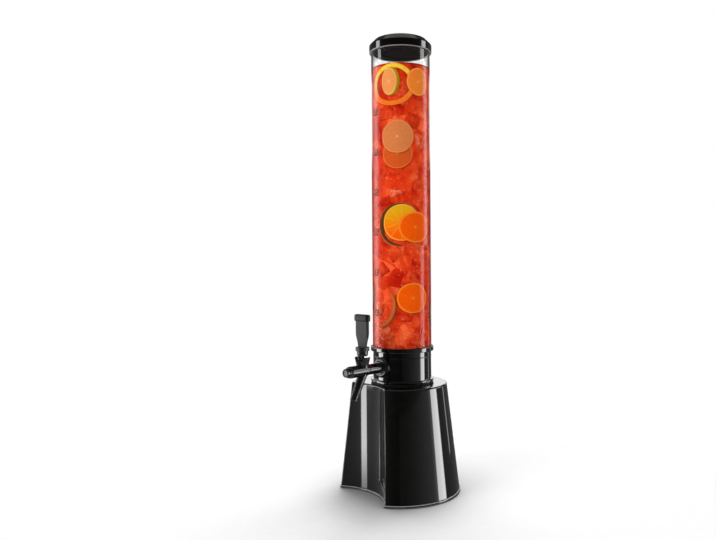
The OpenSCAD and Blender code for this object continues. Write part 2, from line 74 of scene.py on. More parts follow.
towards_camera = np.array([math.sin(CAMERA_TURN), -math.cos(CAMERA_TURN), 0.0])
camera_right = np.array([math.cos(CAMERA_TURN), math.sin(CAMERA_TURN), 0.0])

camera_data = bpy.data.cameras.new("camera")
camera_data.sensor_width = SENSOR
camera_data.lens = FOCAL_PX / PHOTO_W * SENSOR
camera_data.shift_x = (PHOTO_W / 2 - AXIS_AT_PX[0]) / PHOTO_W
camera_data.shift_y = (AXIS_AT_PX[1] - PHOTO_H / 2) / PHOTO_W
camera = bpy.data.objects.new("camera", camera_data)
camera.location = towards_camera * CAMERA_FAR + np.array([0, 0, CAMERA_HIGH])
camera.rotation_euler = (math.radians(90), CAMERA_ROLL, CAMERA_TURN)
bpy.context.scene.collection.objects.link(camera)
bpy.context.scene.camera = camera
print("the camera stands at", camera.location[:])

# %% [markdown]
# ## Shapes as formulas
# Nearly everything on the tower is turned or moulded. A turned piece is a profile carried round an
# axis, and a moulded one is an outline carried along a path. Both are grids of points, so one
# helper that turns a grid into a mesh serves all of them.

# %% Grid helpers
def grid_faces(rows, cols, close_rows, close_cols):
    """Quads over a grid numbered row by row. Closing a direction joins its last line to its first."""
    r = np.arange(rows if close_rows else rows - 1)
    c = np.arange(cols if close_cols else cols - 1)
    r, c = np.meshgrid(r, c, indexing="ij")
    r2, c2 = (r + 1) % rows, (c + 1) % cols
    return np.stack([r * cols + c, r * cols + c2, r2 * cols + c2, r2 * cols + c], -1).reshape(-1, 4)


def volume_sign(points, faces):
    """Sign of the enclosed volume: the sum of a . (b x c) over the triangles of every quad."""
    a, b, c, d = (points[faces[:, k]] for k in range(4))
    return np.sign((a * np.cross(b, c)).sum() + (a * np.cross(c, d)).sum())


def build(name, points, faces, body, material, uv=None, tone=None):
    """Puts points and quads into a mesh, faces outwards, and rides it on a body.
    A quad that names one point twice is a pole's triangle. uv and tone hold a value for each point."""
    points = np.asarray(points, float).reshape(-1, 3)
    faces = np.asarray(faces)
    if volume_sign(points, faces) < 0:
        faces = faces[:, ::-1]
    polygons = [[v for k, v in enumerate(f) if v != f[k - 1]] for f in faces.tolist()]
    mesh = bpy.data.meshes.new(name)
    mesh.from_pydata(points.tolist(), [], polygons)
    corner = np.empty(len(mesh.loops), int)
    mesh.loops.foreach_get("vertex_index", corner)
    if uv is not None:
        layer = mesh.uv_layers.new(name="UVMap")
        layer.data.foreach_set("uv", np.asarray(uv, float)[corner].ravel())
    if tone is not None:
        layer = mesh.attributes.new("tone", "FLOAT", "POINT")
        layer.data.foreach_set("value", np.asarray(tone, float).ravel())
    mesh.polygons.foreach_set("use_smooth", np.ones(len(mesh.polygons), bool))
    mesh.materials.append(material)
    piece = bpy.data.objects.new(name, mesh)
    bpy.context.scene.collection.objects.link(piece)
    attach(piece, body)
    print(f"{name}: {len(mesh.polygons)} faces")
    return piece


def rounded(corners, radius, closed=True, steps=6):
    """Outline with its corners bent round. Each corner P is cut back to A and B, a radius away along
    both sides, and replaced by the quadratic Bezier curve (1-t)^2 A + 2t(1-t) P + t^2 B. One more
    point past A and past B keeps the shading of the long sides flat."""
    p = np.asarray(corners, float)
    back, ahead = np.roll(p, 1, 0) - p, np.roll(p, -1, 0) - p
    back_len = np.linalg.norm(back, axis=1, keepdims=True)
    ahead_len = np.linalg.norm(ahead, axis=1, keepdims=True)
    r = np.broadcast_to(np.asarray(radius, float).reshape(-1, 1), (len(p), 1))
    r = np.minimum(r, 0.42 * np.minimum(back_len, ahead_len))
    guard = np.minimum(1.5 * r, 0.48 * np.minimum(back_len, ahead_len))
    a, b = p + back / back_len * r, p + ahead / ahead_len * r
    t = np.linspace(0, 1, steps)[None, :, None]
    curve = (1 - t) ** 2 * a[:, None] + 2 * t * (1 - t) * p[:, None] + t ** 2 * b[:, None]
    lead = (p + back / back_len * guard)[:, None]
    trail = (p + ahead / ahead_len * guard)[:, None]
    line = np.concatenate([lead, curve, trail], axis=1)
    if closed:
        return line.reshape(-1, 2)
    inner = line[1:-1].reshape(-1, 2)
    return np.vstack([p[:1], inner, p[-1:]])


def capped(rows, cols):
    """Faces of an open grid that a fan closes at each end. The fans meet in two poles, which are the
    two points after the grid's own."""
    ring = np.arange(cols)
    ahead, pole, end = np.roll(ring, -1), 0 * ring + rows * cols, (rows - 1) * cols
    return np.vstack([grid_faces(rows, cols, False, True), np.stack([pole, pole, ahead, ring], -1),
                      np.stack([end + ring, end + ahead, pole + 1, pole + 1], -1)])


def turned(name, profile, origin, body, material, closed=True, steps=96, wave=None):
    """Surface of revolution: profile point (r, z) goes to origin + (r cos a, r sin a, z) for each
    angle a. A closed profile makes a ring, and an open one starts and ends on the axis. wave(a, r)
    may return a new radius, for ribs."""
    profile = np.asarray(profile, float)
    a = np.linspace(0, 2 * np.pi, steps, endpoint=False)
    r, z = (np.repeat(profile[:, k:k + 1], steps, 1) for k in (0, 1))
    if wave is not None:
        r = wave(a[None, :], r)
    points = np.stack([r * np.cos(a), r * np.sin(a), z], -1) + origin
    if closed:
        return build(name, points, grid_faces(len(profile), steps, True, True), body, material)
    points = np.vstack([points[1:-1].reshape(-1, 3), points[[0, -1], 0]])
    return build(name, points, capped(len(profile) - 2, steps), body, material)


def stack(name, rings, origin, body, material):
    """Closed solid from a stack of outlines (rows, points, 3), whose ends are closed at their middle."""
    points = np.vstack([rings.reshape(-1, 3), rings[[0, -1]].mean(1)]) + origin
    return build(name, points, capped(*rings.shape[:2]), body, material)


TOWER = (0, 0, 0)

# %% [markdown]
# ## Finishes
# The tower is nearly all black plastic, so its look is in its gloss: the polished base and collar
# mirror the studio with a faint waviness from the mould, and the tap is moulded a little softer.
# Three effects are shared by several finishes and are built once as node groups: the slow waviness
# with its fine haze, the light scuffing that handling leaves, and the specks of a drink full of ice.
# A group hands out only masks and normals, so that the finish can also be baked.

# %% Node helpers
def add(tree, kind, **values):
    """A new node. Keywords that name an input feed it, and the others set the node's own fields."""
    node = tree.nodes.new("ShaderNode" + kind)
    for key, value in values.items():
        if key.replace("_", " ") in node.inputs:
            wire(node, **{key: value})
        else:
            setattr(node, key, value)
    return node


def wire(node, **values):
    """Feeds the inputs that the keywords name."""
    for key, value in values.items():
        feed(node.inputs[key.replace("_", " ")], value)
    return node


def feed(socket, value):
    """Links a socket to an input, or gives the input a plain value. A colour may lack its alpha."""
    if isinstance(value, bpy.types.NodeSocket):
        socket.id_data.links.new(value, socket)
    elif isinstance(value, tuple) and socket.type == "RGBA":
        socket.default_value = (*value[:3], 1)
    else:
        socket.default_value = value


def tree_of(*values):
    """The node tree that the first socket among some values belongs to."""
    return next(value.id_data for value in values if isinstance(value, bpy.types.NodeSocket))


def maths(operation, *values):
    """One step of arithmetic on sockets and numbers."""
    node = add(tree_of(*values), "Math", operation=operation)
    for socket, value in zip(node.inputs, values):
        feed(socket, value)
    return node.outputs[0]


def vectors(operation, *values):
    """One step of arithmetic on vectors. A length and a dot product come out as a number."""
    node = add(tree_of(*values), "VectorMath", operation=operation)
    for socket, value in zip(node.inputs, values):
        feed(socket, value)
    return node.outputs["Value" if operation in ("LENGTH", "DOT_PRODUCT") else "Vector"]


def product(first, *others):
    """Sockets and numbers, multiplied together."""
    for other in others:
        first = maths("MULTIPLY", first, other)
    return first


def ramp(source, *stops):
    """A colour ramp over source, with stops as (place, colour) pairs."""
    node = add(tree_of(source), "ValToRGB", Fac=source)
    elements = node.color_ramp.elements
    while len(elements) < len(stops):
        elements.new(0.5)
    for element, (place, colour) in zip(elements, stops):
        element.position = place
        element.color = (*colour, 1.0)
    return node.outputs["Color"]


def spread(source, low, high, from_low=0.0, from_high=1.0):
    """Maps source from one range to another, as the values of a roughness or a mask."""
    return add(tree_of(source), "MapRange", Value=source, From_Min=from_low, From_Max=from_high,
               To_Min=low, To_Max=high).outputs["Result"]


def own_place(tree):
    """Where a point of the piece lies, in the piece's own coordinates."""
    return add(tree, "TexCoord").outputs["Object"]


def parts_of(vector):
    """The three coordinates of a vector."""
    return add(tree_of(vector), "SeparateXYZ", Vector=vector).outputs


def noise(place, scale, detail, roughness=0.5, distortion=0.0):
    """Cloudy noise from 0 to 1."""
    return add(tree_of(place), "TexNoise", Vector=place, Scale=scale, Detail=detail, Roughness=roughness,
               Distortion=distortion).outputs["Fac"]


def bumped(height, **values):
    """The normal of a surface that rises with height."""
    return add(tree_of(height), "Bump", Height=height, **values).outputs["Normal"]


def blended(factor, first, second, blend_type="MIX"):
    """Mixes two colours, each a tuple or a socket."""
    return add(tree_of(factor, first, second), "Mix", data_type="RGBA", blend_type=blend_type, Factor=factor,
               A=first, B=second).outputs["Result"]


def finish_for(name, **values):
    """A material with one Principled shader. Values are set on its own sockets."""
    material = bpy.data.materials.new(name)
    material.use_nodes = True
    tree = material.node_tree
    return material, tree, wire(tree.nodes["Principled BSDF"], **values)


def mix_shaders(factor, first, second):
    """A mix of the first outputs of two shader nodes."""
    mix = add(first.id_data, "MixShader")
    for socket, value in zip(mix.inputs, (factor, first.outputs[0], second.outputs[0])):
        feed(socket, value)
    return mix


def clear_for(shader, rays, colour=(1, 1, 1)):
    """Lets one kind of ray straight through the shader."""
    tree = shader.id_data
    through = add(tree, "BsdfTransparent", Color=colour)
    mixed = mix_shaders(add(tree, "LightPath").outputs[rays], shader, through)
    feed(tree.nodes["Material Output"].inputs["Surface"], mixed.outputs[0])

# %% Shared effects
def new_group(name, inputs, outputs):
    """An empty shader group. inputs maps a name to its value, and outputs to its kind of socket."""
    group = bpy.data.node_groups.new(name, "ShaderNodeTree")
    for label, value in inputs.items():
        socket = group.interface.new_socket(label, in_out="INPUT", socket_type="NodeSocketFloat")
        socket.default_value = value
    for label, kind in outputs.items():
        group.interface.new_socket(label, in_out="OUTPUT", socket_type="NodeSocket" + kind)
    return group, group.nodes.new("NodeGroupInput").outputs, group.nodes.new("NodeGroupOutput")


def make_mould_group():
    """Moulded plastic: slow waves bend the mirror image, and a fine haze varies the gloss."""
    group, given, result = new_group(
        "moulded_skin", {"Wave Size": 18.0, "Wave Depth": 0.02, "Grain Size": 900.0, "Grain Depth": 0.0},
        {"Haze": "Float", "Normal": "Vector"})
    place = own_place(group)
    wave = noise(place, given["Wave Size"], 2.0, 0.4)
    grain = noise(place, given["Grain Size"], 3.0, 0.6)
    slow = bumped(wave, Strength=given["Wave Depth"], Distance=0.004)
    fine = bumped(grain, Strength=given["Grain Depth"], Distance=0.0004, Normal=slow)
    wire(result, Haze=noise(place, 55.0, 6.0, 0.65), Normal=fine)
    return group


def make_scuff_group():
    """Handling marks: thin stretched noise, kept only where a broad noise says hands have been."""
    group, given, result = new_group("handling_marks", {"Length": 40.0, "Share": 0.45}, {"Mask": "Float"})
    place = own_place(group)
    narrow = add(group, "Mapping", Vector=place, Rotation=(0.3, 0.5, 0.8), Scale=(30.0, 30.0, 1.0))
    line = noise(narrow.outputs["Vector"], given["Length"], 4.0, 0.7)
    held = maths("GREATER_THAN", noise(place, 14.0, 2.0), given["Share"])
    wire(result, Mask=product(spread(line, 0.0, 1.0, 0.60, 0.72), held))
    return group


def make_speck_group():
    """Broken look of a drink full of ice: dark seams and specks in loose clusters, and pale ones."""
    group, given, result = new_group("drink_specks", {"Share": 0.5}, {"Shade": "Float", "Frost": "Float"})
    place = own_place(group)
    fine = noise(place, 150.0, 3.0, 0.65, 1.5)
    grain = noise(place, 330.0, 2.0)
    bend = add(group, "TexNoise", Vector=place, Scale=38.0, Detail=2.0).outputs["Color"]
    bent = vectors("MULTIPLY_ADD", bend, (0.03, 0.03, 0.03), place)
    seam = add(group, "TexVoronoi", feature="DISTANCE_TO_EDGE", Vector=bent, Scale=42.0).outputs["Distance"]
    where = maths("SUBTRACT", noise(place, 26.0, 2.0), given["Share"])

    def masks(*ranges):
        return product(*(spread(*values) for values in ranges))

    specks = masks((where, 0.0, 1.0, -0.05, 0.12), (fine, 0.0, 1.0, 0.60, 0.68))
    seams = masks((seam, 0.62, 0.0, 0.0, 0.065), (fine, 1.0, 0.1, 0.40, 0.62),
                  (where, 0.25, 1.0, -0.08, 0.10))
    frost = masks((grain, 0.0, 1.0, 0.66, 0.74), (where, 1.0, 0.1, -0.15, 0.02))
    wire(result, Shade=maths("MAXIMUM", specks, seams), Frost=frost)
    return group


def broken_up(colour, share):
    """Darkens and frosts a colour of the drink with the shared specks."""
    specks = add(tree_of(colour), "Group", node_tree=SPECKS, Share=share).outputs
    colour = blended(specks["Shade"], colour, (0.26, 0.012, 0.008))
    return blended(specks["Frost"], colour, (0.95, 0.42, 0.32))


SPECKS = make_speck_group()
MOULD = make_mould_group()
SCUFF = make_scuff_group()
print("shared effects:", [group.name for group in bpy.data.node_groups])

# %% [markdown]
# A finish may carry paint, which is a function that changes its colour on the way: painted shade
# towards the borders and fine lines on the handle, and a painted highlight along a moulded edge.

# %% Paints
def place_parts(tree, middle, size):
    """The three coordinates of (place - middle) / size, each without its sign."""
    away = vectors("SUBTRACT", own_place(tree), middle)
    return parts_of(vectors("ABSOLUTE", vectors("DIVIDE", away, size)))


WAVE_PITCH = 0.314                    # how far apart the waves of a wave texture of scale 1 are


def painted_edge_shade(middle, half, start, dark, pitch=0.0):
    """Painted shade for an upright face: darker from start (as a share of its half width or half
    height) to its border. With a pitch, fine upright lines run over it, pitch metres apart."""
    def paint(colour):
        tree = colour.id_data
        parts = place_parts(tree, middle, half)
        shade = spread(maths("MAXIMUM", parts[0], parts[2]), 1.0, dark, start, start + 0.08)
        colour = blended(1.0, colour, shade, "MULTIPLY")
        if pitch:
            lines = add(tree, "TexWave", Vector=own_place(tree), Scale=WAVE_PITCH / pitch, Distortion=0.0)
            colour = blended(1.0, colour, spread(lines.outputs["Fac"], 0.74, 1.12), "MULTIPLY")
        return colour
    return paint


def painted_edge_highlight(low, high, level):
    """Painted highlight for a moulded edge that would catch the light: a pale grey between two heights."""
    def paint(colour):
        parts = place_parts(colour.id_data, (0, 0, (low + high) / 2), (1, 1, (high - low) / 2))
        return blended(spread(parts[2], 1.0, 0.0, 0.85, 1.15), colour, (level, level, level - 0.01))
    return paint

# %% Plastic finishes
def black_plastic(name, colours, rough, wave, grain, scuffs, coat=0.0, gloss=0.5, paint=None,
                  haze=(0.3, 0.7)):
    """Moulded black plastic. Colour and roughness go from their first value to their second with
    the haze, and a paint may change the colour on the way."""
    material, tree, shader = finish_for(name, IOR=1.52, Coat_Weight=coat, Coat_Roughness=0.02,
                                        Specular_IOR_Level=gloss)
    skin = add(tree, "Group", node_tree=MOULD, Wave_Depth=wave, Grain_Depth=grain).outputs
    marks = add(tree, "Group", node_tree=SCUFF, Share=scuffs).outputs["Mask"]
    tint = ramp(skin["Haze"], *zip(haze, colours))
    clean = spread(skin["Haze"], *rough, 0.3, 0.7)
    wire(shader, Base_Color=paint(tint) if paint else tint, Normal=skin["Normal"],
         Roughness=maths("MULTIPLY_ADD", marks, 0.10, clean))
    return material


def greys(*levels):
    """A grey colour for each level."""
    return [(level, level, level) for level in levels]


def glossy(name, paint=None):
    """The polished black of the base, the collar and the lid."""
    return black_plastic(name, ((0.0022, 0.0022, 0.0019), (0.0045, 0.0045, 0.004)), (0.035, 0.075),
                         wave=0.03, grain=0.0, scuffs=0.56, coat=0.5, paint=paint, haze=(0.35, 0.7))


gloss_black = glossy("gloss_black")
tap_black = black_plastic("tap_black", ((0.006, 0.006, 0.006), (0.011, 0.011, 0.0105)), (0.22, 0.32),
                          wave=0.10, grain=0.05, scuffs=0.5, gloss=0.7)
GRIP_SKIN = dict(rough=(0.50, 0.62), wave=0.05, grain=0.35, scuffs=0.5, gloss=0.2)
grip_black = black_plastic("grip_black", greys(0.078, 0.105), **GRIP_SKIN)
satin_black = black_plastic("satin_black", greys(0.008, 0.014), (0.45, 0.6), wave=0.05, grain=0.2,
                            scuffs=0.6, gloss=0.15)
plug_black = black_plastic("plug_black", greys(0.012, 0.020), (0.5, 0.6), wave=0.02, grain=0.1,
                           scuffs=0.6, gloss=0.0)
print("black plastics:", [material.name for material in bpy.data.materials])

# %% [markdown]
# Rubber, steel, brass and the white bearing plastic are mostly hidden inside the tap and under the
# base. They still get their own finish, because the lever and the base are seen from all sides.

# %% Small finishes
def simple_finish(name, colours, rough, metallic=0.0, grain=0.3):
    """A plain finish whose colour, gloss and surface vary with one fine noise."""
    material, tree, shader = finish_for(name, Metallic=metallic)
    fine = noise(own_place(tree), 300.0, 5.0, 0.6)
    wire(shader, Base_Color=ramp(fine, *zip((0.3, 0.7), colours)),
         Roughness=spread(fine, *rough, 0.3, 0.7),
         Normal=bumped(fine, Strength=grain, Distance=0.0003))
    return material


METAL = dict(metallic=1.0, grain=0.15)
black_rubber = simple_finish("black_rubber", ((0.014, 0.014, 0.014), (0.028, 0.027, 0.026)), (0.6, 0.8))
clear_silicone = simple_finish("clear_silicone", ((0.55, 0.56, 0.55), (0.66, 0.67, 0.66)), (0.35, 0.5))
white_plastic = simple_finish("white_plastic", ((0.70, 0.70, 0.68), (0.80, 0.80, 0.78)), (0.3, 0.45))
steel = simple_finish("steel", ((0.50, 0.50, 0.51), (0.62, 0.62, 0.63)), (0.22, 0.36), **METAL)
dark_steel = simple_finish("dark_steel", greys(0.05, 0.09), (0.4, 0.55), **METAL)
brass = simple_finish("brass", ((0.60, 0.43, 0.18), (0.76, 0.58, 0.28)), (0.2, 0.34), **METAL)

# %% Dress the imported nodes
SLOT_FINISH = {finish.name: finish
               for finish in (gloss_black, tap_black, grip_black, satin_black, black_rubber,
                              clear_silicone, white_plastic, steel, brass)}
slot_of = {part["node"]: part["material_slot"] for part in frame["record"]["subparts"]}
for node_name, node_object in frame["nodes"].items():
    finish = SLOT_FINISH.get(slot_of[node_name])
    if finish:
        node_object.data.materials.clear()
        node_object.data.materials.append(finish)
frame["nodes"]["lever_stem"].data.materials[0] = dark_steel
print(len(slot_of), "nodes have a finish")

# %% [markdown]
# ## The base
# The real base is one thin moulded shell: a cone with a hollow scooped out of its front, so that a
# glass can stand under the spout. In plan it is a large circle with a second circle cut out of it,
# and the two corners between them are rounded. That plan is worked out for a whole stack of
# heights at once, so the cone, its rounded top edge and the inside of the shell are one grid.

# %% Base sizes, from the frame
base_low, base_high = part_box("base_shell")
BASE_Z, BASE_TOP = base_low[2], base_high[2]
BASE_SHIFT = 6.5 * MM                 # how far the cone's middle lies before the tower's axis
RECESS_TURN = math.radians(10)
RECESS_R = 94 * MM
RECESS_NEAR = 59.5 * MM               # how near the recess comes to the tower's axis
RECESS_MID = RECESS_NEAR + RECESS_R
BASE_R_LOW = base_high[1] + BASE_SHIFT * math.cos(RECESS_TURN)
BASE_R_HIGH = 80.5 * MM
BASE_WALL = 3 * MM
CORNER_R = 2.2 * MM
EDGE = 2.0 * MM                       # the rounding of the cone's upper edge
SPIGOT_HOLE = 21.1 * MM
front = np.array([-math.sin(RECESS_TURN), -math.cos(RECESS_TURN)])
side = np.array([math.cos(RECESS_TURN), -math.sin(RECESS_TURN)])
print(f"the base's radius is {BASE_R_LOW:.4f} m at the foot and {BASE_R_HIGH:.4f} m at the top")

# %% Base
def base_plan(radius, drawn_in, corner, wall_points=220, recess_points=90, corner_points=14):
    """The base in plan for each radius, as (rows, points, 2).
    Circle A has the given radius less drawn_in, and circle B, the recess, grows by drawn_in. The
    corner circle touches A from inside and B from outside, so its middle is where circles
    A - corner and B + corner meet, which the cosine rule gives."""
    big = (radius - drawn_in)[:, None]
    cut = (RECESS_R + drawn_in)[:, None]
    corner = corner[:, None]
    gap = RECESS_MID - BASE_SHIFT
    at_a = np.arccos((gap ** 2 + (big - corner) ** 2 - (cut + corner) ** 2) / (2 * gap * (big - corner)))
    at_b = np.arccos((gap ** 2 + (cut + corner) ** 2 - (big - corner) ** 2) / (2 * gap * (cut + corner)))
    turn = at_a + (2 * np.pi - 2 * at_a) * np.linspace(0, 1, wall_points)
    wall = np.stack([BASE_SHIFT + big * np.cos(turn), big * np.sin(turn)], -1)
    turn = at_b * np.linspace(-1, 1, recess_points)
    recess = np.stack([RECESS_MID - cut * np.cos(turn), cut * np.sin(turn)], -1)
    mid_u = BASE_SHIFT + (big - corner) * np.cos(at_a)
    mid_v = (big - corner) * np.sin(at_a)
    turn = (at_a + at_b) * np.linspace(0, 1, corner_points + 2)[1:-1] - at_a
    low = np.stack([mid_u + corner * np.cos(turn), corner * np.sin(turn) - mid_v], -1)
    high = low[:, ::-1] * np.array([1, -1])
    plan = np.concatenate([wall, low, recess, high], axis=1)
    return plan[..., :1] * front + plan[..., 1:] * side


def base_wall_radius(z):
    """Radius of the cone at a height: a straight line from the foot to the top."""
    return BASE_R_LOW + (BASE_R_HIGH - BASE_R_LOW) * (z - BASE_Z) / (BASE_TOP - BASE_Z)


def plan_rows(rows, radius, corner, hub):
    """Turns rows of (drawn in, z, share of the way to the middle) into a grid of points. In the
    middle the plan ends on a circle with the radius hub."""
    plan = base_plan(radius, rows[:, 0], corner)
    middle = plan / np.linalg.norm(plan, axis=-1, keepdims=True) * hub
    flat = plan + (middle - plan) * rows[:, 2, None, None]
    return np.concatenate([flat, np.broadcast_to(rows[:, 1, None, None], flat.shape[:2] + (1,))], -1)


quarter = np.linspace(0, np.pi / 2, 9)
outside = [(0.3 * MM, BASE_Z, 0), (0, BASE_Z + 0.3 * MM, 0)]
outside += [(0, z, 0) for z in np.linspace(BASE_Z + 1 * MM, BASE_TOP - EDGE - 0.4 * MM, 14)]
outside += [(0, BASE_TOP - EDGE, 0)]
edge = [(EDGE * (1 - math.cos(a)), BASE_TOP - EDGE + EDGE * math.sin(a), 0) for a in quarter[1:]]
roof = [(EDGE, BASE_TOP, share) for share in (0.02, 0.2, 0.4, 0.6, 0.8, 0.99, 1)]
under = [(BASE_WALL, BASE_TOP - 3.5 * MM, share) for share in (1, 0.99, 0.5, 0.02, 0)]
inside = [(BASE_WALL, z, 0) for z in np.linspace(BASE_TOP - 4.5 * MM, BASE_Z + 0.5 * MM, 8)]
inside += [(BASE_WALL - 0.3 * MM, BASE_Z, 0)]
rows = np.array(outside + edge + roof + under + inside)
shell = plan_rows(rows, base_wall_radius(np.clip(rows[:, 1], BASE_Z, BASE_TOP)),
                  np.maximum(CORNER_R - rows[:, 0], 0.5 * MM), SPIGOT_HOLE)
base_piece = build("base_cone", shell, grid_faces(*shell.shape[:2], True, True), "tower", gloss_black)
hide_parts("base_shell")

# %% [markdown]
# A moulded plate closes the base from below. Its rim stands out a little all round and shows as the
# thin band at the foot, with a groove underneath that holds the rubber ring.

# %% Foot plate
PLATE_Z, PLATE_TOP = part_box("base_plate")[0][2], BASE_Z
FOOT_OUT = 1.5 * MM
SOFT_EDGE = 1.1 * MM
GROOVE_FROM, GROOVE_TO, GROOVE_DEEP = 1.45 * MM, 5.55 * MM, 0.6 * MM
BEND = 0.15 * MM
band_in = -FOOT_OUT + SOFT_EDGE
top_face = [(band_in, PLATE_TOP, share) for share in (1, 0.6, 0.3, 0.02, 0)]
band = [(band_in - SOFT_EDGE * math.sin(a), PLATE_TOP - SOFT_EDGE * (1 - math.cos(a)), 0)
        for a in quarter[1:]]
band += [(band_in - SOFT_EDGE * math.cos(a), PLATE_Z + SOFT_EDGE * (1 - math.sin(a)), 0) for a in quarter]
groove = [(inwards, PLATE_Z + up, 0) for inwards, up in (
    (GROOVE_FROM - BEND, 0), (GROOVE_FROM, 0), (GROOVE_FROM, GROOVE_DEEP), (GROOVE_FROM + BEND, GROOVE_DEEP),
    (GROOVE_TO - BEND, GROOVE_DEEP), (GROOVE_TO, GROOVE_DEEP), (GROOVE_TO, 0), (GROOVE_TO + BEND, 0))]
under_face = [(GROOVE_TO + BEND, PLATE_Z, share) for share in (0.02, 0.3, 0.6, 1)]
rows = np.array(top_face + band + groove + under_face)
plate = plan_rows(rows, np.full(len(rows), BASE_R_LOW), CORNER_R - rows[:, 0], MM)
# The pale line along the top of the plate's rim is a painted highlight.
foot_painted_highlight = glossy("foot_black", painted_edge_highlight(PLATE_TOP - 0.9 * MM, PLATE_TOP + 0.3 * MM, 0.44))
plate_piece = stack("foot_plate", plate, TOWER, "tower", foot_painted_highlight)
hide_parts("base_plate")

# %% [markdown]
# ## Collar, tube and lid
# These are turned shapes on the tower's axis. The collar and the tube ring were injection moulded,
# so each edge has a small radius that catches a thin line of light. Those radii are put into the
# profiles, because a perfectly sharp edge never shows a highlight.

# %% Turned pieces of the tower
def outline(corners, radius):
    """Rounded profile in metres from corners given in millimetres."""
    return rounded(np.asarray(corners, float), radius) * MM


GASKET_IN, GASKET_R = 21.2, 52.6
gasket_low, gasket_high = (z * 1000 for z in (BASE_TOP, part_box("collar_gasket")[1][2]))
gasket_line = [(GASKET_IN, gasket_low), (GASKET_R, gasket_low), (GASKET_R, gasket_high),
               (GASKET_IN, gasket_high)]
gasket_piece = turned("gasket", outline(gasket_line, 0.35), TOWER, "tower", black_rubber, steps=160)
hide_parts("collar_gasket")

# The cup's outline runs from its spigot outwards over the flange, up the wall and back inside.
COLLAR_R, FLANGE_R, CUP_TOP = 49.6, 53.7, 226
SLEEVE_IN, SLEEVE_R = 43.7, 46.7
collar_line = [(17.5, 160), (21, 160), (21, gasket_high), (FLANGE_R, gasket_high), (FLANGE_R, 189),
               (COLLAR_R, 189), (COLLAR_R - 0.3, CUP_TOP), (SLEEVE_R, CUP_TOP), (SLEEVE_R, 235.5),
               (SLEEVE_IN, 235.5), (SLEEVE_IN, 225), (45.3, 225), (45.3, 192), (1, 192), (1, 186),
               (17.5, 186)]
collar_round = [0.3, 0.3, 0.3, 0.9, 1.0, 0.5, 0.35, 0.3, 0.3, 0.3, 0.3, 0.3, 1.5, 0.3, 0.3, 0.5]
collar_piece = turned("collar_cup", outline(collar_line, collar_round), TOWER, "tower", gloss_black,
                      steps=224)
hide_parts("collar")

RING_R, RING_FOOT, RING_TOP, TUBE_SEAT = 53.4, 236, 243.5, 237.5
ring_line = [(49.8, CUP_TOP), (49.8, 227.2), (49.3, 227.6), (49.3, RING_FOOT), (RING_R, RING_FOOT),
             (RING_R, RING_TOP), (50.05, RING_TOP), (50.05, TUBE_SEAT), (46.95, TUBE_SEAT), (46.95, 242),
             (SLEEVE_IN, 242), (SLEEVE_IN, 236), (46.75, 236), (46.75, CUP_TOP)]
ring_round = [0.25, 0.35, 0.3, 0.5, 1.0, 1.1, 0.3, 0.2, 0.2, 0.3, 0.3, 0.3, 0.3, 0.3]
ring_piece = turned("tube_socket", outline(ring_line, ring_round), TOWER, "tower", gloss_black, steps=224)
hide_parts("tube_ring")

LID_Z, LID_TOP = (z[2] * 1000 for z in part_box("lid_cap"))
LID_R, LID_WALL = 53.2, 2.8
cap_line = [(0, LID_TOP), (26, LID_TOP - 0.15), (42, LID_TOP - 0.7), (43.6, LID_Z + 22.3),
            (LID_R - 0.45, LID_Z + 13.1), (LID_R, LID_Z + 12), (LID_R, LID_Z), (LID_R - LID_WALL, LID_Z),
            (LID_R - LID_WALL, LID_Z + 12), (42, LID_TOP - 3), (0, LID_TOP - 2.2)]
cap_round = [0, 6, 1.4, 1.6, 0.9, 1.0, 0.9, 0.5, 0.5, 1, 0]
# A pale line round the lid's lower edge is a painted highlight.
lid_painted_highlight = glossy("lid_black", painted_edge_highlight((LID_Z - 1) * MM, (LID_Z + 1) * MM, 0.46))
lid_piece = turned("lid_cover", rounded(cap_line, cap_round, closed=False) * MM, TOWER, "lid", lid_painted_highlight,
                   closed=False, steps=224)
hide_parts("lid_cap")

PLUG_Z, PLUG_TOP = (z[2] * 1000 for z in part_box("lid_plug"))
PLUG_R, PLUG_RIM_R, SEAL_R = 46.6, 50, 45.4
plug_line = [(0, PLUG_Z), (30, PLUG_Z), (31, PLUG_Z + 1.4), (33, PLUG_Z + 1.4), (34, PLUG_Z),
             (PLUG_R, PLUG_Z), (PLUG_R, PLUG_Z + 2), (SEAL_R, PLUG_Z + 2), (SEAL_R, PLUG_Z + 4.4),
             (PLUG_R, PLUG_Z + 4.4), (PLUG_R, PLUG_TOP - 1.6), (PLUG_RIM_R, PLUG_TOP - 1.6),
             (PLUG_RIM_R, PLUG_TOP), (43.6, PLUG_TOP), (43.6, PLUG_Z + 2), (0, PLUG_Z + 2)]
plug_piece = turned("lid_stopper", rounded(plug_line, 0.35, closed=False) * MM, TOWER, "lid", plug_black,
                    closed=False, steps=160)
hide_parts("lid_plug")

# %% [markdown]
# ## The tap
# The tap's pieces are moulded too, but their shapes are awkward: a barrel with a slanted spout
# growing out of it, and a split cup for the ball. Their exact solids are at hand, so each one is
# taken over whole, and only its edges are rounded, as the mould rounds them.

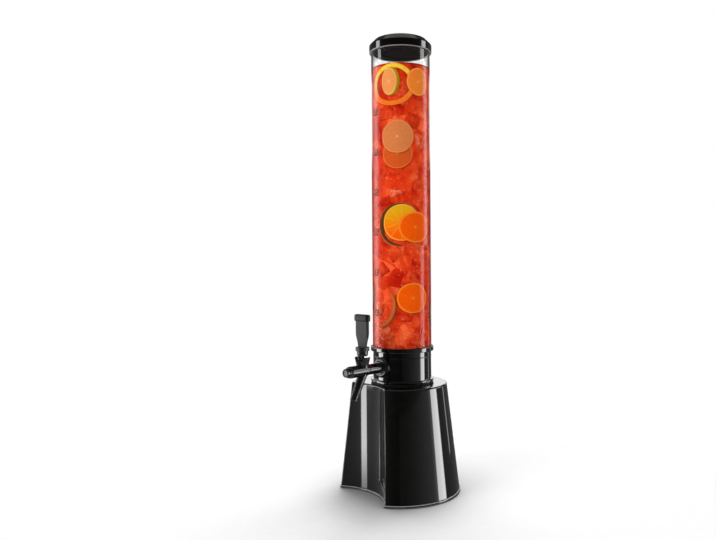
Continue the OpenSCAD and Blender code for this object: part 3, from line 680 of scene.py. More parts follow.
# %% Rounded edges
def softened(node, width, material, body, steps=3, sharper_than=28):
    """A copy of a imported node's mesh with its split corners joined, its flat faces made whole, and
    every edge sharper than the given angle rounded by a width in millimetres."""
    mesh = bpy.data.meshes.new(node + "_moulded")
    work = bmesh.new()
    work.from_mesh(frame["nodes"][node].data)
    bmesh.ops.remove_doubles(work, verts=work.verts, dist=2e-6)
    bmesh.ops.dissolve_limit(work, angle_limit=math.radians(0.6), verts=work.verts, edges=work.edges)
    sharp = [e for e in work.edges
             if len(e.link_faces) == 2 and e.calc_face_angle() > math.radians(sharper_than)]
    bmesh.ops.bevel(work, geom=sharp, offset=width * MM, offset_type="OFFSET", segments=steps, profile=0.5,
                    affect="EDGES", clamp_overlap=True)
    bmesh.ops.triangulate(work, faces=[f for f in work.faces if len(f.verts) > 4])
    for face in work.faces:
        face.smooth = True
    work.to_mesh(mesh)
    work.free()
    mesh.materials.append(material)
    piece = bpy.data.objects.new(node + "_moulded", mesh)
    piece.modifiers.new("flat faces stay flat", "WEIGHTED_NORMAL")
    bpy.context.scene.collection.objects.link(piece)
    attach(piece, body)
    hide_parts(node)
    print(f"{piece.name}: {len(mesh.polygons)} faces, {len(sharp)} edges rounded")
    return piece


for node, width in (("tap_body", 0.30), ("tap_rosette", 0.35), ("nose_cap", 0.30), ("bonnet", 0.30)):
    softened(node, width, tap_black, "tower")

# %% [markdown]
# The handle is three mouldings on the steel stem. The ferrule has a ribbed rim to screw it down by,
# the grip is a flat paddle that widens towards the top, and a cap closes the paddle.

# %% Handle sizes, from the frame
ferrule_low, ferrule_high = (np.array(v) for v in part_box("handle_ferrule"))
grip_low, grip_high = (np.array(v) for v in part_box("handle_grip"))
cap_low, cap_high = (np.array(v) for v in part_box("handle_cap"))
LEVER_Y = (ferrule_low[1] + ferrule_high[1]) / 2
HANDLE = (0, LEVER_Y, ferrule_low[2])
FERRULE_H = (ferrule_high[2] - ferrule_low[2]) * 1000
RIM_R = (ferrule_high[0] - ferrule_low[0]) * 500
GRIP_W, GRIP_T = (grip_high - grip_low)[:2] * 1000
CAP_W, CAP_T, CAP_H = (cap_high - cap_low) * 1000
GRIP_END = (cap_low[2] - ferrule_low[2]) * 1000
NECK_W, NECK_T = 17.5, 5.5            # the grip where it leaves the ferrule
PEG_W, PEG_T, PEG_LONG = 11.6, 4.4, 4  # its pegs, which reach into the ferrule and the cap
print("the handle is", round((cap_high[2] - ferrule_low[2]) * 1000, 1), "mm long")

# %% Ferrule
RIM_LONG, RIBS, RIB_DEEP = 6.4, 28, 0.28


def ribbed(a, r):
    """Ribs round the rim: a cosine of RIBS waves, only where the radius is near the rim's own."""
    on_rim = np.clip((r / MM - (RIM_R - 0.7)) / 0.5, 0, 1)
    return r - on_rim * RIB_DEEP * MM * (1 - np.cos(RIBS * a)) / 2


ferrule_line = [(4.6, 0), (8, 0), (9, 2.5), (9, FERRULE_H - RIM_LONG), (RIM_R, FERRULE_H - RIM_LONG),
                (RIM_R, FERRULE_H), (4.6, FERRULE_H)]
ferrule_piece = turned("ferrule", outline(ferrule_line, [0.3, 0.5, 1.2, 0.3, 0.9, 0.9, 0.3]), HANDLE, "lever",
                       tap_black, steps=224, wave=ribbed)
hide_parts("handle_ferrule")

# %% Grip and cap
def bar(name, z, width, thick, corner, material, points=96):
    """Solid flat bar from outlines at heights z, in millimetres above the ferrule's foot. Its edges
    are round: for each angle t the outline has x = width / 2 |cos t|^(corner / 1.6) and
    y = thick / 2 |sin t|^corner, with the signs of cos t and sin t."""
    t = np.linspace(0, 2 * np.pi, points, endpoint=False)
    x = np.sign(np.cos(t)) * np.abs(np.cos(t)) ** (corner / 1.6) * width[:, None] / 2
    y = np.sign(np.sin(t)) * np.abs(np.sin(t)) ** corner * thick[:, None] / 2
    rings = np.stack([x, y, np.broadcast_to(z[:, None], x.shape)], -1) * MM
    return stack(name, rings, HANDLE, "lever", material)


# The grip flares by the smooth step 3s^2 - 2s^3 over the lower 55 hundredths of its height.
share = np.linspace(0, 1, 40)
flare = np.clip(share / 0.55, 0, 1)
flare = flare * flare * (3 - 2 * flare)
# Painted shade darkens the grip's face towards its borders, and fine upright lines run over it.
grip_painted_shade_and_lines = painted_edge_shade((0, 0, 0), (GRIP_W / 2 * MM, 1, 100), 0.86, 0.35, pitch=0.0031)
grip_lined = black_plastic("grip_lined", greys(0.088, 0.118), **GRIP_SKIN, paint=grip_painted_shade_and_lines)
grip_z = np.hstack([FERRULE_H - PEG_LONG, FERRULE_H - 0.2 + share * (GRIP_END - FERRULE_H + 0.4),
                    GRIP_END + PEG_LONG])
grip_w = np.hstack([PEG_W, NECK_W + (GRIP_W - NECK_W) * flare, PEG_W])
grip_t = np.hstack([PEG_T, NECK_T + (GRIP_T - NECK_T) * flare, PEG_T])
grip_piece = bar("grip", grip_z, grip_w, grip_t, 0.5, grip_lined)
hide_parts("handle_grip")

CAP_FOOT, CAP_ROUND = 1.3, 2.8        # how far the cap's lower and upper edges are rounded
bend = np.linspace(0, np.pi / 2, 8)
cap_z = np.hstack([0, CAP_FOOT * (1 - np.cos(bend)), CAP_H / 2,
                   CAP_H - CAP_ROUND * (1 - np.sin(bend)), CAP_H])
cap_in = np.hstack([3, CAP_FOOT * (1 - np.sin(bend)), 0, CAP_ROUND * (1 - np.cos(bend)), 3.4])
cap_middle = (0, 0, (cap_low[2] + cap_high[2]) / 2)
# Painted shade darkens the cap's face towards its borders.
cap_painted_shade = painted_edge_shade(cap_middle, (CAP_W / 2 * MM, 1, CAP_H / 2 * MM), 0.72, 0.25)
cap_black = black_plastic("cap_black", greys(0.034, 0.046), (0.30, 0.42), wave=0.05, grain=0.15,
                          scuffs=0.5, gloss=0.2, paint=cap_painted_shade)
cap_piece = bar("grip_cap", GRIP_END + cap_z, CAP_W - 2 * cap_in, CAP_T - 1.6 * cap_in, 0.55, cap_black)
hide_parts("handle_cap")

# %% [markdown]
# ## Clear acrylic
# The tube is cut from a cast acrylic pipe and polished at its ends. Acrylic bends light a little
# less than glass, and a pipe like this shows faint draw lines and wiping marks when a lamp grazes
# it. Straight shadows are let through, because lamps shine into a real tube as well.

# %% Clear finishes
def clear_finish(name, ior, tint, rough, depth, size, wet_to, edge=1.0):
    """A clear body: refraction with slight wiping marks, and a plain pass for shadow rays. Below
    the height wet_to it is fogged by the cold drink and mirrors little. Light that grazes the edge
    runs a long way through the wall, so a painted shade darkens the colour there by how steeply the
    wall is seen, to the share called edge, and less so above wet_to, where the wall is dry on both sides."""
    material, tree, shader = finish_for(name, IOR=ior, Transmission_Weight=1.0)
    place = own_place(tree)
    drawn = add(tree, "Mapping", Vector=place, Scale=(1.0, 1.0, 0.12)).outputs["Vector"]
    marks = noise(drawn, size, 4.0, 0.6)
    steep = add(tree, "LayerWeight", Blend=0.5).outputs["Facing"]
    height = parts_of(place)[2]
    body = ramp(marks, *zip((0.3, 0.7), tint))
    # Painted shade: the colour darkens where the wall is seen steeply, at the tube's edges.
    grazed = ramp(steep, (0.41, (1, 1, 1)), (0.80, (edge, edge, edge)))
    shade = spread(height, 1.0, 0.3, wet_to - 0.002, wet_to)
    wire(shader, Base_Color=blended(shade, body, grazed, "MULTIPLY"),
         Roughness=spread(marks, *rough, 0.45, 0.75),
         Specular_Tint=spread(height, 0.10, 1.0, wet_to - 0.002, wet_to),
         Normal=bumped(marks, Strength=depth, Distance=0.0006))
    clear_for(shader, "Is Shadow Ray", tint[0])
    return material


DRINK_LOW, DRINK_TOP = 193.2, 715.0
clear_acrylic = clear_finish("clear_acrylic", 1.49, ((0.985, 0.99, 0.99), (0.97, 0.98, 0.98)), (0.0, 0.02),
                             0.01, 60.0, DRINK_TOP * MM, edge=0.32)
drink_clear = clear_finish("drink_clear", 1.33, ((1.0, 0.96, 0.95), (1.0, 0.93, 0.91)), (0.0, 0.01),
                           0.03, 40.0, 1.0)

# %% Tube
TUBE_R, TUBE_IN = 50.0, 47.0
TUBE_Z, TUBE_TOP = (z[2] * 1000 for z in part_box("tube"))
tube_line = [(TUBE_IN, TUBE_Z), (TUBE_R, TUBE_Z), (TUBE_R, TUBE_TOP), (TUBE_IN, TUBE_TOP)]
tube_piece = turned("clear_tube", outline(tube_line, 0.4), TOWER, "tower", clear_acrylic, steps=192)
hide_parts("tube")

# %% [markdown]
# Half-litre marks are printed up the tube, near the tap. Print is a thin layer of ink: each figure
# is drawn as text, made a mesh, and bent round the wall, which it stands off by a few hundredths.

# %% Level marks
MARK_TURN = math.radians(14)          # beyond the tap, away from the camera
MARK_LOW, MARK_STEP, MARK_COUNT = 300.3, 66.9, 6
FIGURE_SIZE = 11.0
LINE_HALF, LINE_LOW, LINE_HIGH, LINE_POINTS = 7, -3.4, -1.6, 9
INK = 0.05


def on_wall(across, level, out):
    """Points on the tube's wall, from millimetres round it from the marks' middle, up and outwards."""
    angle = MARK_TURN - across / TUBE_R
    r = TUBE_R + out
    return np.stack([-r * np.sin(angle), -r * np.cos(angle), level], -1)


def bent_text(text, level):
    """Vertices and faces of a text, bent round the tube: a letter's point (x, y, z) goes x round the
    tube from the marks' middle, to the height level + y and z out from the wall."""
    curve = bpy.data.curves.new("figure", "FONT")
    curve.body, curve.size, curve.align_x, curve.extrude = text, FIGURE_SIZE, "CENTER", INK / 2
    curve.offset = 0.25
    curve.resolution_u = 3
    holder = bpy.data.objects.new("figure", curve)
    bpy.context.scene.collection.objects.link(holder)
    mesh = bpy.data.meshes.new_from_object(holder.evaluated_get(bpy.context.evaluated_depsgraph_get()))
    work = bmesh.new()
    work.from_mesh(mesh)
    bmesh.ops.remove_doubles(work, verts=work.verts, dist=1e-4)
    points = np.array([v.co[:] for v in work.verts])
    faces = [[v.index for v in face.verts] for face in work.faces]
    work.free()
    bpy.data.objects.remove(holder)
    bpy.data.curves.remove(curve)
    bpy.data.meshes.remove(mesh)
    return on_wall(points[:, 0], points[:, 1] + level, points[:, 2] + INK), faces


ink_points, ink_faces, ink_count = [], [], 0
line_across = np.repeat(np.linspace(-LINE_HALF, LINE_HALF, LINE_POINTS), 4)
line_up = np.tile([LINE_LOW, LINE_HIGH, LINE_HIGH, LINE_LOW], LINE_POINTS)
line_out = np.tile([INK / 2, INK / 2, INK * 1.5, INK * 1.5], LINE_POINTS)
line_ends = [[3, 2, 1, 0], [4 * LINE_POINTS - 4 + corner for corner in range(4)]]
line_faces = grid_faces(LINE_POINTS, 4, False, True).tolist() + line_ends
for k in range(MARK_COUNT):
    level = MARK_LOW + k * MARK_STEP
    line = on_wall(line_across, line_up + level, line_out)
    for points, polygons in (bent_text(f"{0.5 * (k + 1):.1f}", level), (line, line_faces)):
        ink_points.append(points)
        ink_faces += [[v + ink_count for v in polygon] for polygon in polygons]
        ink_count += len(points)
ink_mesh = bpy.data.meshes.new("level_marks")
ink_mesh.from_pydata((np.vstack(ink_points) * MM).tolist(), [], ink_faces)
ink_work = bmesh.new()
ink_work.from_mesh(ink_mesh)
bmesh.ops.recalc_face_normals(ink_work, faces=ink_work.faces)
ink_work.to_mesh(ink_mesh)
ink_work.free()
print_ink = simple_finish("print_ink", ((0.004, 0.004, 0.004), (0.009, 0.008, 0.008)), (0.5, 0.7))
ink_mesh.materials.append(print_ink)
ink_piece = bpy.data.objects.new("level_marks", ink_mesh)
bpy.context.scene.collection.objects.link(ink_piece)
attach(ink_piece, "tower")
print("level_marks:", len(ink_mesh.polygons), "faces")

# %% [markdown]
# ## The drink
# The drink is cloudy with fruit, so light does not come through it from behind: what is seen is its
# outer few millimetres, full of ice and slices, before a glowing red haze. It is built the same way.
# A clear tinted skin holds the ice and the fruit, and a cloudy core closes the view behind them.

# %% Cloudy core finish
def haze_finish():
    """Red haze: a broad drift of light and dark, over broken shapes like ice deep in the drink."""
    material, tree, shader = finish_for("drink_haze", Roughness=0.5, IOR=1.33, Specular_IOR_Level=0.0)
    place = own_place(tree)
    shard = add(tree, "TexVoronoi", feature="F1", Vector=place, Scale=48.0).outputs["Color"]
    crack = add(tree, "TexVoronoi", feature="DISTANCE_TO_EDGE", Vector=place, Scale=48.0).outputs["Distance"]
    own = add(tree, "SeparateColor", Color=shard).outputs[0]
    tone = maths("MULTIPLY_ADD", own, 0.20, noise(place, 20.0, 5.0, 0.6, 1.0))
    colour = ramp(tone, (0.38, (0.40, 0.005, 0.001)), (0.48, (0.68, 0.026, 0.004)),
                  (0.62, (0.84, 0.060, 0.010)), (0.78, (1.0, 0.16, 0.045)))
    colour = blended(1.0, colour, spread(crack, 0.93, 1.0, 0.0, 0.06), "MULTIPLY")
    wire(shader, Base_Color=broken_up(colour, 0.49),
         Normal=bumped(tone, Strength=0.5, Distance=0.003))
    return material

# %% Drink
SKIN_R, CORE_R, CORE_LOW = 47.06, 39.0, 196
SOCKET_IN, SOCKET_TOP = 43.4, 243.5   # the drink inside the collar and its ring, below the tube
drink_haze = haze_finish()
core_line = [(0, CORE_LOW), (CORE_R - 2, CORE_LOW), (CORE_R, CORE_LOW + 2)]
core_line += [(CORE_R, z) for z in np.linspace(CORE_LOW + 9, DRINK_TOP - 9, 40)]
core_line += [(CORE_R, DRINK_TOP - 3), (CORE_R - 1, DRINK_TOP - 2), (0, DRINK_TOP - 2)]
turned("drink_core", np.array(core_line) * MM, TOWER, "tower", drink_haze, closed=False, steps=128)
skin_line = [(0, DRINK_LOW), (42, DRINK_LOW), (SOCKET_IN, DRINK_LOW + 1), (SOCKET_IN, SOCKET_TOP),
             (SKIN_R, SOCKET_TOP + 0.4), (SKIN_R, 246), (SKIN_R, 400), (SKIN_R, 560),
             (SKIN_R, DRINK_TOP - 0.6), (SKIN_R - 0.2, DRINK_TOP - 0.2), (SKIN_R - 0.8, DRINK_TOP - 0.5),
             (SKIN_R - 2, DRINK_TOP - 0.7), (30, DRINK_TOP - 0.7), (0, DRINK_TOP - 0.7)]
turned("drink_skin", np.array(skin_line) * MM, TOWER, "tower", drink_clear, closed=False, steps=160)

# %% [markdown]
# ## Ice
# Ice from a tray is a cube with rounded edges and a cloudy middle. The superellipsoid
# |x|^n + |y|^n + |z|^n = 1 has just that shape, and copies of it, turned and scaled at random, fill
# the drink. How near a point is to an edge is kept as an attribute, because the edges of ice in a
# red drink look dark and its flat sides look light, and the finish paints this shade and light into
# the ice's colour.

# %% Ice finish
def ice_finish():
    """Ice in the drink: painted light on its pale orange flats, painted shade on its darker edges, and a tone
    of its own for each cube.
    """
    material, tree, shader = finish_for("ice", Roughness=0.3, IOR=1.31, Specular_IOR_Level=0.0)
    near = add(tree, "Attribute", attribute_name="tone").outputs["Fac"]
    own = spread(parts_of(add(tree, "UVMap").outputs["UV"])[0], -0.13, 0.13)
    cloud = noise(own_place(tree), 60.0, 4.0, 0.6, 1.2)
    # Painted shade: the colour darkens towards each cube's edges.
    tone = maths("ADD", maths("SUBTRACT", cloud, spread(near, 0.0, 0.08, 0.60, 1.0)), own)
    colour = ramp(tone, (0.16, (0.42, 0.006, 0.002)), (0.34, (0.68, 0.034, 0.005)),
                  (0.50, (0.78, 0.066, 0.014)), (0.62, (0.86, 0.12, 0.04)), (0.74, (0.94, 0.26, 0.14)))
    wire(shader, Base_Color=broken_up(colour, 0.465),
         Normal=bumped(cloud, Strength=0.35, Distance=0.0015))
    return material

# %% Ice cubes
def cube_grid(power=7.0, n=14):
    """Unit superellipsoid from a grid on a cube: each point p is divided by (sum |p|^power)^(1/power),
    which keeps it on the surface. Returns points, quads and how near each point is to an edge."""
    t = np.linspace(-1, 1, n)
    t = np.sign(t) * (1 - (1 - np.abs(t)) ** 1.4)
    u, v = np.meshgrid(t, t, indexing="ij")
    one = np.ones_like(u)
    sides = [(one, u, v), (-one, v, u), (v, one, u), (u, -one, v), (u, v, one), (v, u, -one)]
    points = np.concatenate([np.stack(side, -1).reshape(-1, 3) for side in sides])
    size = (np.abs(points) ** power).sum(1, keepdims=True) ** (1 / power)
    ordered = np.sort(np.abs(points), 1)
    quads = np.vstack([grid_faces(n, n, False, False) + k * n * n for k in range(6)])
    merged, index = np.unique(np.round(points / size, 6), axis=0, return_inverse=True)
    near = np.zeros(len(merged))
    near[index.ravel()] = ordered[:, 1]
    return merged, index.ravel()[quads], near


def turns(count, chance):
    """Random rotation matrices, from the QR factors of random 3 by 3 matrices."""
    q, r = np.linalg.qr(chance.normal(size=(count, 3, 3)))
    q = q * np.sign(np.einsum("kii->ki", r))[:, None, :]
    q[np.linalg.det(q) < 0, :, 0] *= -1
    return q


def ice_places(count, chance):
    """Places on a slowly turning spiral, 137.5 degrees apart, so that cubes never line up."""
    z = np.linspace(ICE_LOW, DRINK_TOP - 16, count)
    a = np.arange(count) * math.radians(137.5) + chance.normal(0, 0.15, count)
    half = chance.uniform(10.5, 14.5, (count, 1)) * chance.uniform(0.85, 1.1, (count, 3))
    r = ICE_MID_R - chance.uniform(0, 3, count)
    return np.stack([r * np.cos(a), r * np.sin(a), z + chance.normal(0, 3, count)], -1), half


def copies(faces, points_each, count):
    """The faces of count copies of a mesh whose points follow one another."""
    return (faces[None] + (np.arange(count) * points_each)[:, None, None]).reshape(-1, 4)


CUBES = 58
ICE_LOW, ICE_MID_R = 258, 32.5
ICE_R = 41.6                          # the ice ends where the slices begin
chance = np.random.default_rng(7)
unit, unit_faces, unit_near = cube_grid()
centre, half = ice_places(CUBES, chance)
local = unit[None] * half[:, None, :]
cubes = np.einsum("kij,kpj->kpi", turns(CUBES, chance), local) + centre[:, None]
cubes[..., :2] *= np.minimum(1, ICE_R / np.linalg.norm(cubes[..., :2], axis=-1, keepdims=True))
own_tone = np.repeat(chance.uniform(0, 1, (CUBES, 1)) * [1, 1], len(unit), 0)
build("ice_cubes", cubes * MM, copies(unit_faces, len(unit), CUBES), "tower", ice_finish(), uv=own_tone,
      tone=np.tile(unit_near, CUBES))

# %% [markdown]
# Small bubbles cling to the cold wall, most of them low down. Each is a small ball whose pale colour
# against the drink is a painted reflection of the light that a bubble turns back.

# %% Bubbles
BUBBLES = 620
BUBBLE_AT_R, BUBBLE_LOW = 46.2, 246
ball, ball_faces, _ = cube_grid(power=2.0, n=5)
bubble_turn = chance.uniform(0, 2 * np.pi, BUBBLES)
bubble_z = BUBBLE_LOW + (DRINK_TOP - 6 - BUBBLE_LOW) * chance.uniform(0, 1, BUBBLES) ** 1.9
bubble_r = chance.uniform(0.22, 0.62, (BUBBLES, 1, 1))
bubble_at = np.stack([BUBBLE_AT_R * np.cos(bubble_turn), BUBBLE_AT_R * np.sin(bubble_turn), bubble_z], -1)
bubbles = ball[None] * bubble_r + bubble_at[:, None]
bubble_finish = simple_finish("bubble", ((0.90, 0.34, 0.26), (0.98, 0.55, 0.46)), (0.1, 0.2), grain=0.05)
build("bubbles", bubbles * MM, copies(ball_faces, len(ball), BUBBLES), "tower", bubble_finish)

# %% [markdown]
# ## Fruit
# A citrus slice is a short disc: rind, white pith, flesh in wedges and a pale middle. The flesh is
# drawn in the finish from the slice's own flat coordinates, so every slice can lean its own way.

# %% Fruit finish
def citrus_finish(name, flesh, pith, rind, wall=0.14, wedge=0.8, peel=0.07, top=None):
    """A slice seen flat on. reach is the distance from its middle: flesh, then a wall of pith, then
    the peel. Ten wedges part where the cosine of five times the angle is near zero. wedge says how
    clear their walls are, and the flesh may drift to the colour top towards the top."""
    material, tree, shader = finish_for(name, Roughness=0.4, IOR=1.38, Specular_IOR_Level=0.0)
    uv = add(tree, "UVMap").outputs["UV"]
    middle = vectors("MULTIPLY_ADD", uv, (2, 2, 0), (-1, -1, 0))
    reach = vectors("LENGTH", middle)
    across, up, _ = parts_of(middle)
    wave = maths("COSINE", product(maths("ARCTAN2", up, across), 5.0))
    walls = spread(product(maths("ABSOLUTE", wave), reach), wedge, 0.0, 0.02, 0.12)
    pulp = noise(uv, 34.0, 4.0, 0.6)
    colour = ramp(pulp, *zip((0.3, 0.7), flesh))
    if top:
        colour = blended(spread(up, 0.0, 1.0, -0.6, 0.6), colour, top)
    pith_here = ramp(reach, (0.0, (1, 1, 1)), (0.05, (1, 1, 1)), (0.09, (0, 0, 0)),
                     (1 - wall - 0.03, (0, 0, 0)), (1 - wall, (1, 1, 1)))
    colour = blended(walls, colour, pith)
    colour = blended(pith_here, colour, pith)
    colour = blended(spread(reach, 0.0, 1.0, 1 - peel, 1.02 - peel), colour, rind)
    wire(shader, Base_Color=colour, Normal=bumped(pulp, Strength=0.4, Distance=0.0006))
    return material


ORANGE = citrus_finish("orange_slice", ((0.92, 0.075, 0.001), (1.0, 0.15, 0.001)), (1.0, 0.27, 0.02),
                       (1.0, 0.20, 0.01), wall=0.09, wedge=0.32, peel=0.03)
PALE = citrus_finish("pale_slice", ((0.66, 0.16, 0.035), (0.80, 0.30, 0.10)), (0.90, 0.42, 0.18),
                     (0.84, 0.28, 0.09), wall=0.05, wedge=0.22)
SOFT = citrus_finish("soft_slice", ((0.62, 0.075, 0.010), (0.74, 0.13, 0.022)), (0.84, 0.24, 0.06),
                     (0.82, 0.20, 0.035), wall=0.06, wedge=0.2)
BRIGHT = citrus_finish("bright_slice", ((0.95, 0.20, 0.015), (1.0, 0.31, 0.04)), (1.0, 0.48, 0.15),
                       (0.98, 0.32, 0.05), wall=0.08, wedge=0.3)
LIME_RIM = citrus_finish("rimmed_slice", ((0.86, 0.28, 0.06), (0.96, 0.42, 0.14)), (1.0, 0.62, 0.24),
                         (0.56, 0.36, 0.010), wall=0.10, wedge=0.35)
DARK_PEEL = citrus_finish("dark_peel", ((0.085, 0.030, 0.008), (0.15, 0.052, 0.012)), (0.12, 0.045, 0.010),
                          (0.52, 0.24, 0.07), wall=0.02, peel=0.03)
WEDGED = citrus_finish("wedged_slice", ((0.96, 0.085, 0.001), (1.0, 0.17, 0.003)), (1.0, 0.48, 0.06),
                       (0.96, 0.30, 0.02), wall=0.05, wedge=0.62, peel=0.02, top=(0.80, 0.42, 0.006))
YELLOW = citrus_finish("peel_ring", ((0.92, 0.17, 0.012), (0.96, 0.23, 0.02)), (1.0, 0.30, 0.03),
                       (0.95, 0.25, 0.02), wall=0.02, peel=0.01, top=(0.94, 0.66, 0.05))
PEEL = citrus_finish("peel_band", ((0.58, 0.13, 0.03), (0.66, 0.20, 0.05)), (0.54, 0.16, 0.04),
                     (0.44, 0.10, 0.02), wall=0.3, top=(0.30, 0.11, 0.02))
print("finishes in all:", len(bpy.data.materials))

# %% Slices
WALL_R = 44.5                         # where a slice that is pressed against the tube lies
LENS = 1.05                           # how much wider the round tube makes things near its wall look
PROUD = 1.6                           # how far out of WALL_R the slice's front is


def uneven(a, r):
    """A cut fruit is never a true circle: two slow waves change the radius by about a hundredth."""
    return r * (1 + 0.012 * np.sin(2 * a + 0.6) + 0.006 * np.sin(5 * a + 1.1))


def seen_at(x, y, depth):
    """The point that the photograph shows at pixel (x, y), a depth in millimetres before the axis."""
    scale = (CAMERA_FAR - depth * MM) / FOCAL_PX
    across, up = (x - AXIS_AT_PX[0]) * scale, (AXIS_AT_PX[1] - y) * scale
    flat = towards_camera * depth * MM + camera_right * (across + up * math.tan(CAMERA_ROLL))
    return flat + np.array([0, 0, CAMERA_HIGH + up])


def spot(x, y):
    """Angle from the camera's side round the tower, and height in mm, of what is seen at a pixel."""
    near = seen_at(x, y, WALL_R)
    across = np.dot(near[:2], camera_right[:2]) / MM / LENS
    return math.asin(np.clip(across / WALL_R, -0.97, 0.97)), near[2] / MM


def fruit(name, place, radius, finish, thick=2.4, hole=0.0, squeeze=1.0, lean=0.0, inward=0.0,
          crescent=None):
    """One slice at a place given as (angle, height), bent round the tower so that it follows the tube.
    A point u across, v up and w out goes to the angle u / WALL_R round the tower, the height v and
    the radius WALL_R + w. squeeze narrows a slice that is turned away, lean shifts its front, and
    inward moves it towards the axis. A crescent (middle, span in degrees) keeps a ring wide near one
    angle only, and a hair elsewhere: its width follows
    ((cos(a - middle) - cos(span)) / (1 - cos(span)))^0.6."""
    line = rounded([(hole, 0), (radius, 0), (radius, thick), (hole, thick)], thick * 0.35, closed=bool(hole))
    a = np.linspace(0, 2 * np.pi, 96, endpoint=False)
    if not hole:
        fill = np.linspace(0.15, 0.85, 5)[:, None] * [[radius, 0]]
        hair = [[0.01, 0]]
        line = np.vstack([line[:1] + hair, fill, line[1:-1], fill[::-1] + [[0, thick]], line[-1:] + hair])
    r, w = line[:, :1], line[:, 1:] + 0 * a
    if crescent is not None:
        middle_turn, span = np.radians(crescent)
        wide = (np.cos(a - middle_turn) - math.cos(span)) / (1 - math.cos(span))
        wide = 0.06 + 0.94 * np.clip(wide, 0, 1) ** 0.6
        r, w = radius - (radius - r) * wide, w * (0.2 + 0.8 * wide)
    r = uneven(a, r + 0 * a)
    flat = np.stack([r * np.cos(a), r * np.sin(a), w], -1)
    middle, level = place
    angle = middle + (flat[..., 0] * squeeze + flat[..., 2] * lean) / WALL_R
    out = WALL_R - thick + flat[..., 2] - inward + PROUD
    points = towards_camera * (out * np.cos(angle))[..., None]
    points = points + camera_right * (out * np.sin(angle))[..., None]
    points[..., 2] = level + flat[..., 1]
    uv = flat.reshape(-1, 3)[:, :2] / radius / 2 + 0.5
    if hole:
        return build(name, points * MM, grid_faces(*r.shape, True, True), "tower", finish, uv=uv)
    points = np.vstack([points.reshape(-1, 3), points[[0, -1]].mean(1)])
    uv = np.vstack([uv, [[0.5, 0.5]] * 2])
    return build(name, points * MM, capped(*r.shape), "tower", finish, uv=uv)


# Each piece in front has the pixel of its middle in the photograph, its radius, finish and more.
FRONT = {
    "peel_ring_top": ((391.5, 83.9), 35.0, YELLOW, dict(thick=3.0, hole=27.5, squeeze=1.13, inward=2.6)),
    "slice_small_top": ((391.6, 81.0), 23.4, LIME_RIM, dict(thick=4.2, squeeze=0.56, lean=-1.1)),
    "slice_right_top": ((418.0, 80.9), 23.3, BRIGHT, dict(squeeze=0.85)),
    "slice_pale": ((397.2, 136.4), 27.5, PALE, dict(squeeze=0.95)),
    "slice_under_pale": ((397.0, 153.5), 24.5, SOFT, dict(squeeze=1.05, inward=3.0)),
    "rim_dark": ((400.0, 224.6), 36.6, DARK_PEEL, dict(thick=3.6, hole=29.5, squeeze=1.08, lean=0.4,
                                                       inward=2.4, crescent=(172, 112))),
    "slice_in_dark_rim": ((401.6, 222.4), 30.5, WEDGED, dict(thick=3.0, squeeze=1.04, inward=2.6)),
    "slice_middle": ((415.4, 227.1), 25.8, ORANGE, dict(squeeze=1.06)),
    "slice_low": ((413.2, 298.2), 25.3, ORANGE, dict(squeeze=1.05)),
    "peel_band_low": ((379.0, 305.5), 38.0, PEEL, dict(thick=4.0, hole=31.0, squeeze=0.78, lean=0.8,
                                                       inward=1.2, crescent=(-32, 72))),
}
for name, (pixel, radius, finish, more) in FRONT.items():
    fruit(name, spot(*pixel), radius, finish, **more)

# The far side was not photographed, and is filled in the same manner: angle, height, radius, finish.
BEHIND = ((115, 640, 25, ORANGE), (150, 655, 27, BRIGHT), (205, 560, 26, PALE), (240, 668, 24, ORANGE),
          (128, 470, 28, ORANGE), (220, 430, 26, BRIGHT), (170, 345, 25, ORANGE), (250, 330, 27, PALE),
          (108, 300, 24, LIME_RIM))
for number, (turned_by, level, radius, finish) in enumerate(BEHIND, 1):
    fruit(f"slice_behind_{number}", (math.radians(turned_by), level), radius, finish, squeeze=0.96)

# %% [markdown]
# ## The studio
# A plain pale floor, a white background and soft light. Tall window-like panels stand on both sides
# of the camera, and the gloss shows them: each one draws a long upright line on the base, the
# collar and the lid. They are drawn in the world by direction, and only mirror images see them.

# %% World
PANEL = 8.0                           # the panels' brightness, against a white of 1
LID_PANEL = PANEL * 0.62              # the dimmer part of the panels, which the lid mirrors
EVEN, INSIDE = 0.30, 1.68             # soft light outside, and what the drink gets on top
ECHO = 0.06                           # share of it left in mirror images inside the clear pieces


def tall_window(ahead, height, levels):
    """One side of the studio: for each level, from low to high, its brightness by angle."""
    shown = None
    for start, stops in levels:
        band = ramp(ahead, *((place, panel_grey(value)) for place, value in stops))
        above = spread(height, 0.0, 1.0, start, start + 0.004)
        shown = blended(above, shown, band) if shown else band
    return shown


def panel_grey(value):
    """A grey as a share of the panels' brightness."""
    return (value / PANEL, value / PANEL, value / PANEL)


def mirrored_room(tree):
    """What gloss shows: a window on each side by angle and height, the floor below, a grey ceiling,
    and behind the tower a short bright strip, which only grazing views mirror."""
    way = add(tree, "TexCoord").outputs["Generated"]
    height = parts_of(way)[2]
    level = maths("SQRT", maths("SUBTRACT", 1.0001, product(height, height)))
    to_front, to_right = (vectors("DOT_PRODUCT", way, axis)
                          for axis in (towards_camera, camera_right))
    ahead = spread(maths("DIVIDE", to_front, level), 0.0, 1.0, -1.0, 1.0)
    sides = [blended(spread(height, 1.0, 0.0, edge, edge - soft), panel_grey(floor),
                     tall_window(ahead, height, levels))
             for levels, edge, soft, floor in ((LEFT, -0.255, 0.07, 0.13), (RIGHT, -0.30, 0.06, 0.08))]
    room = blended(maths("GREATER_THAN", to_right, 0.0), *sides)
    behind = product(spread(height, 0.0, 1.0, 0.12, 0.15),
                     spread(height, 1.0, 0.0, 0.235, 0.25), spread(ahead, 1.0, 0.0, 0.06, 0.12))
    for mask, value in ((behind, 1.5), (spread(height, 0.0, 1.0, 0.78, 0.84), 0.42),
                        (spread(height, 1.0, 0.0, -0.70, -0.50), 0.9)):
        room = blended(mask, room, panel_grey(value))
    return room


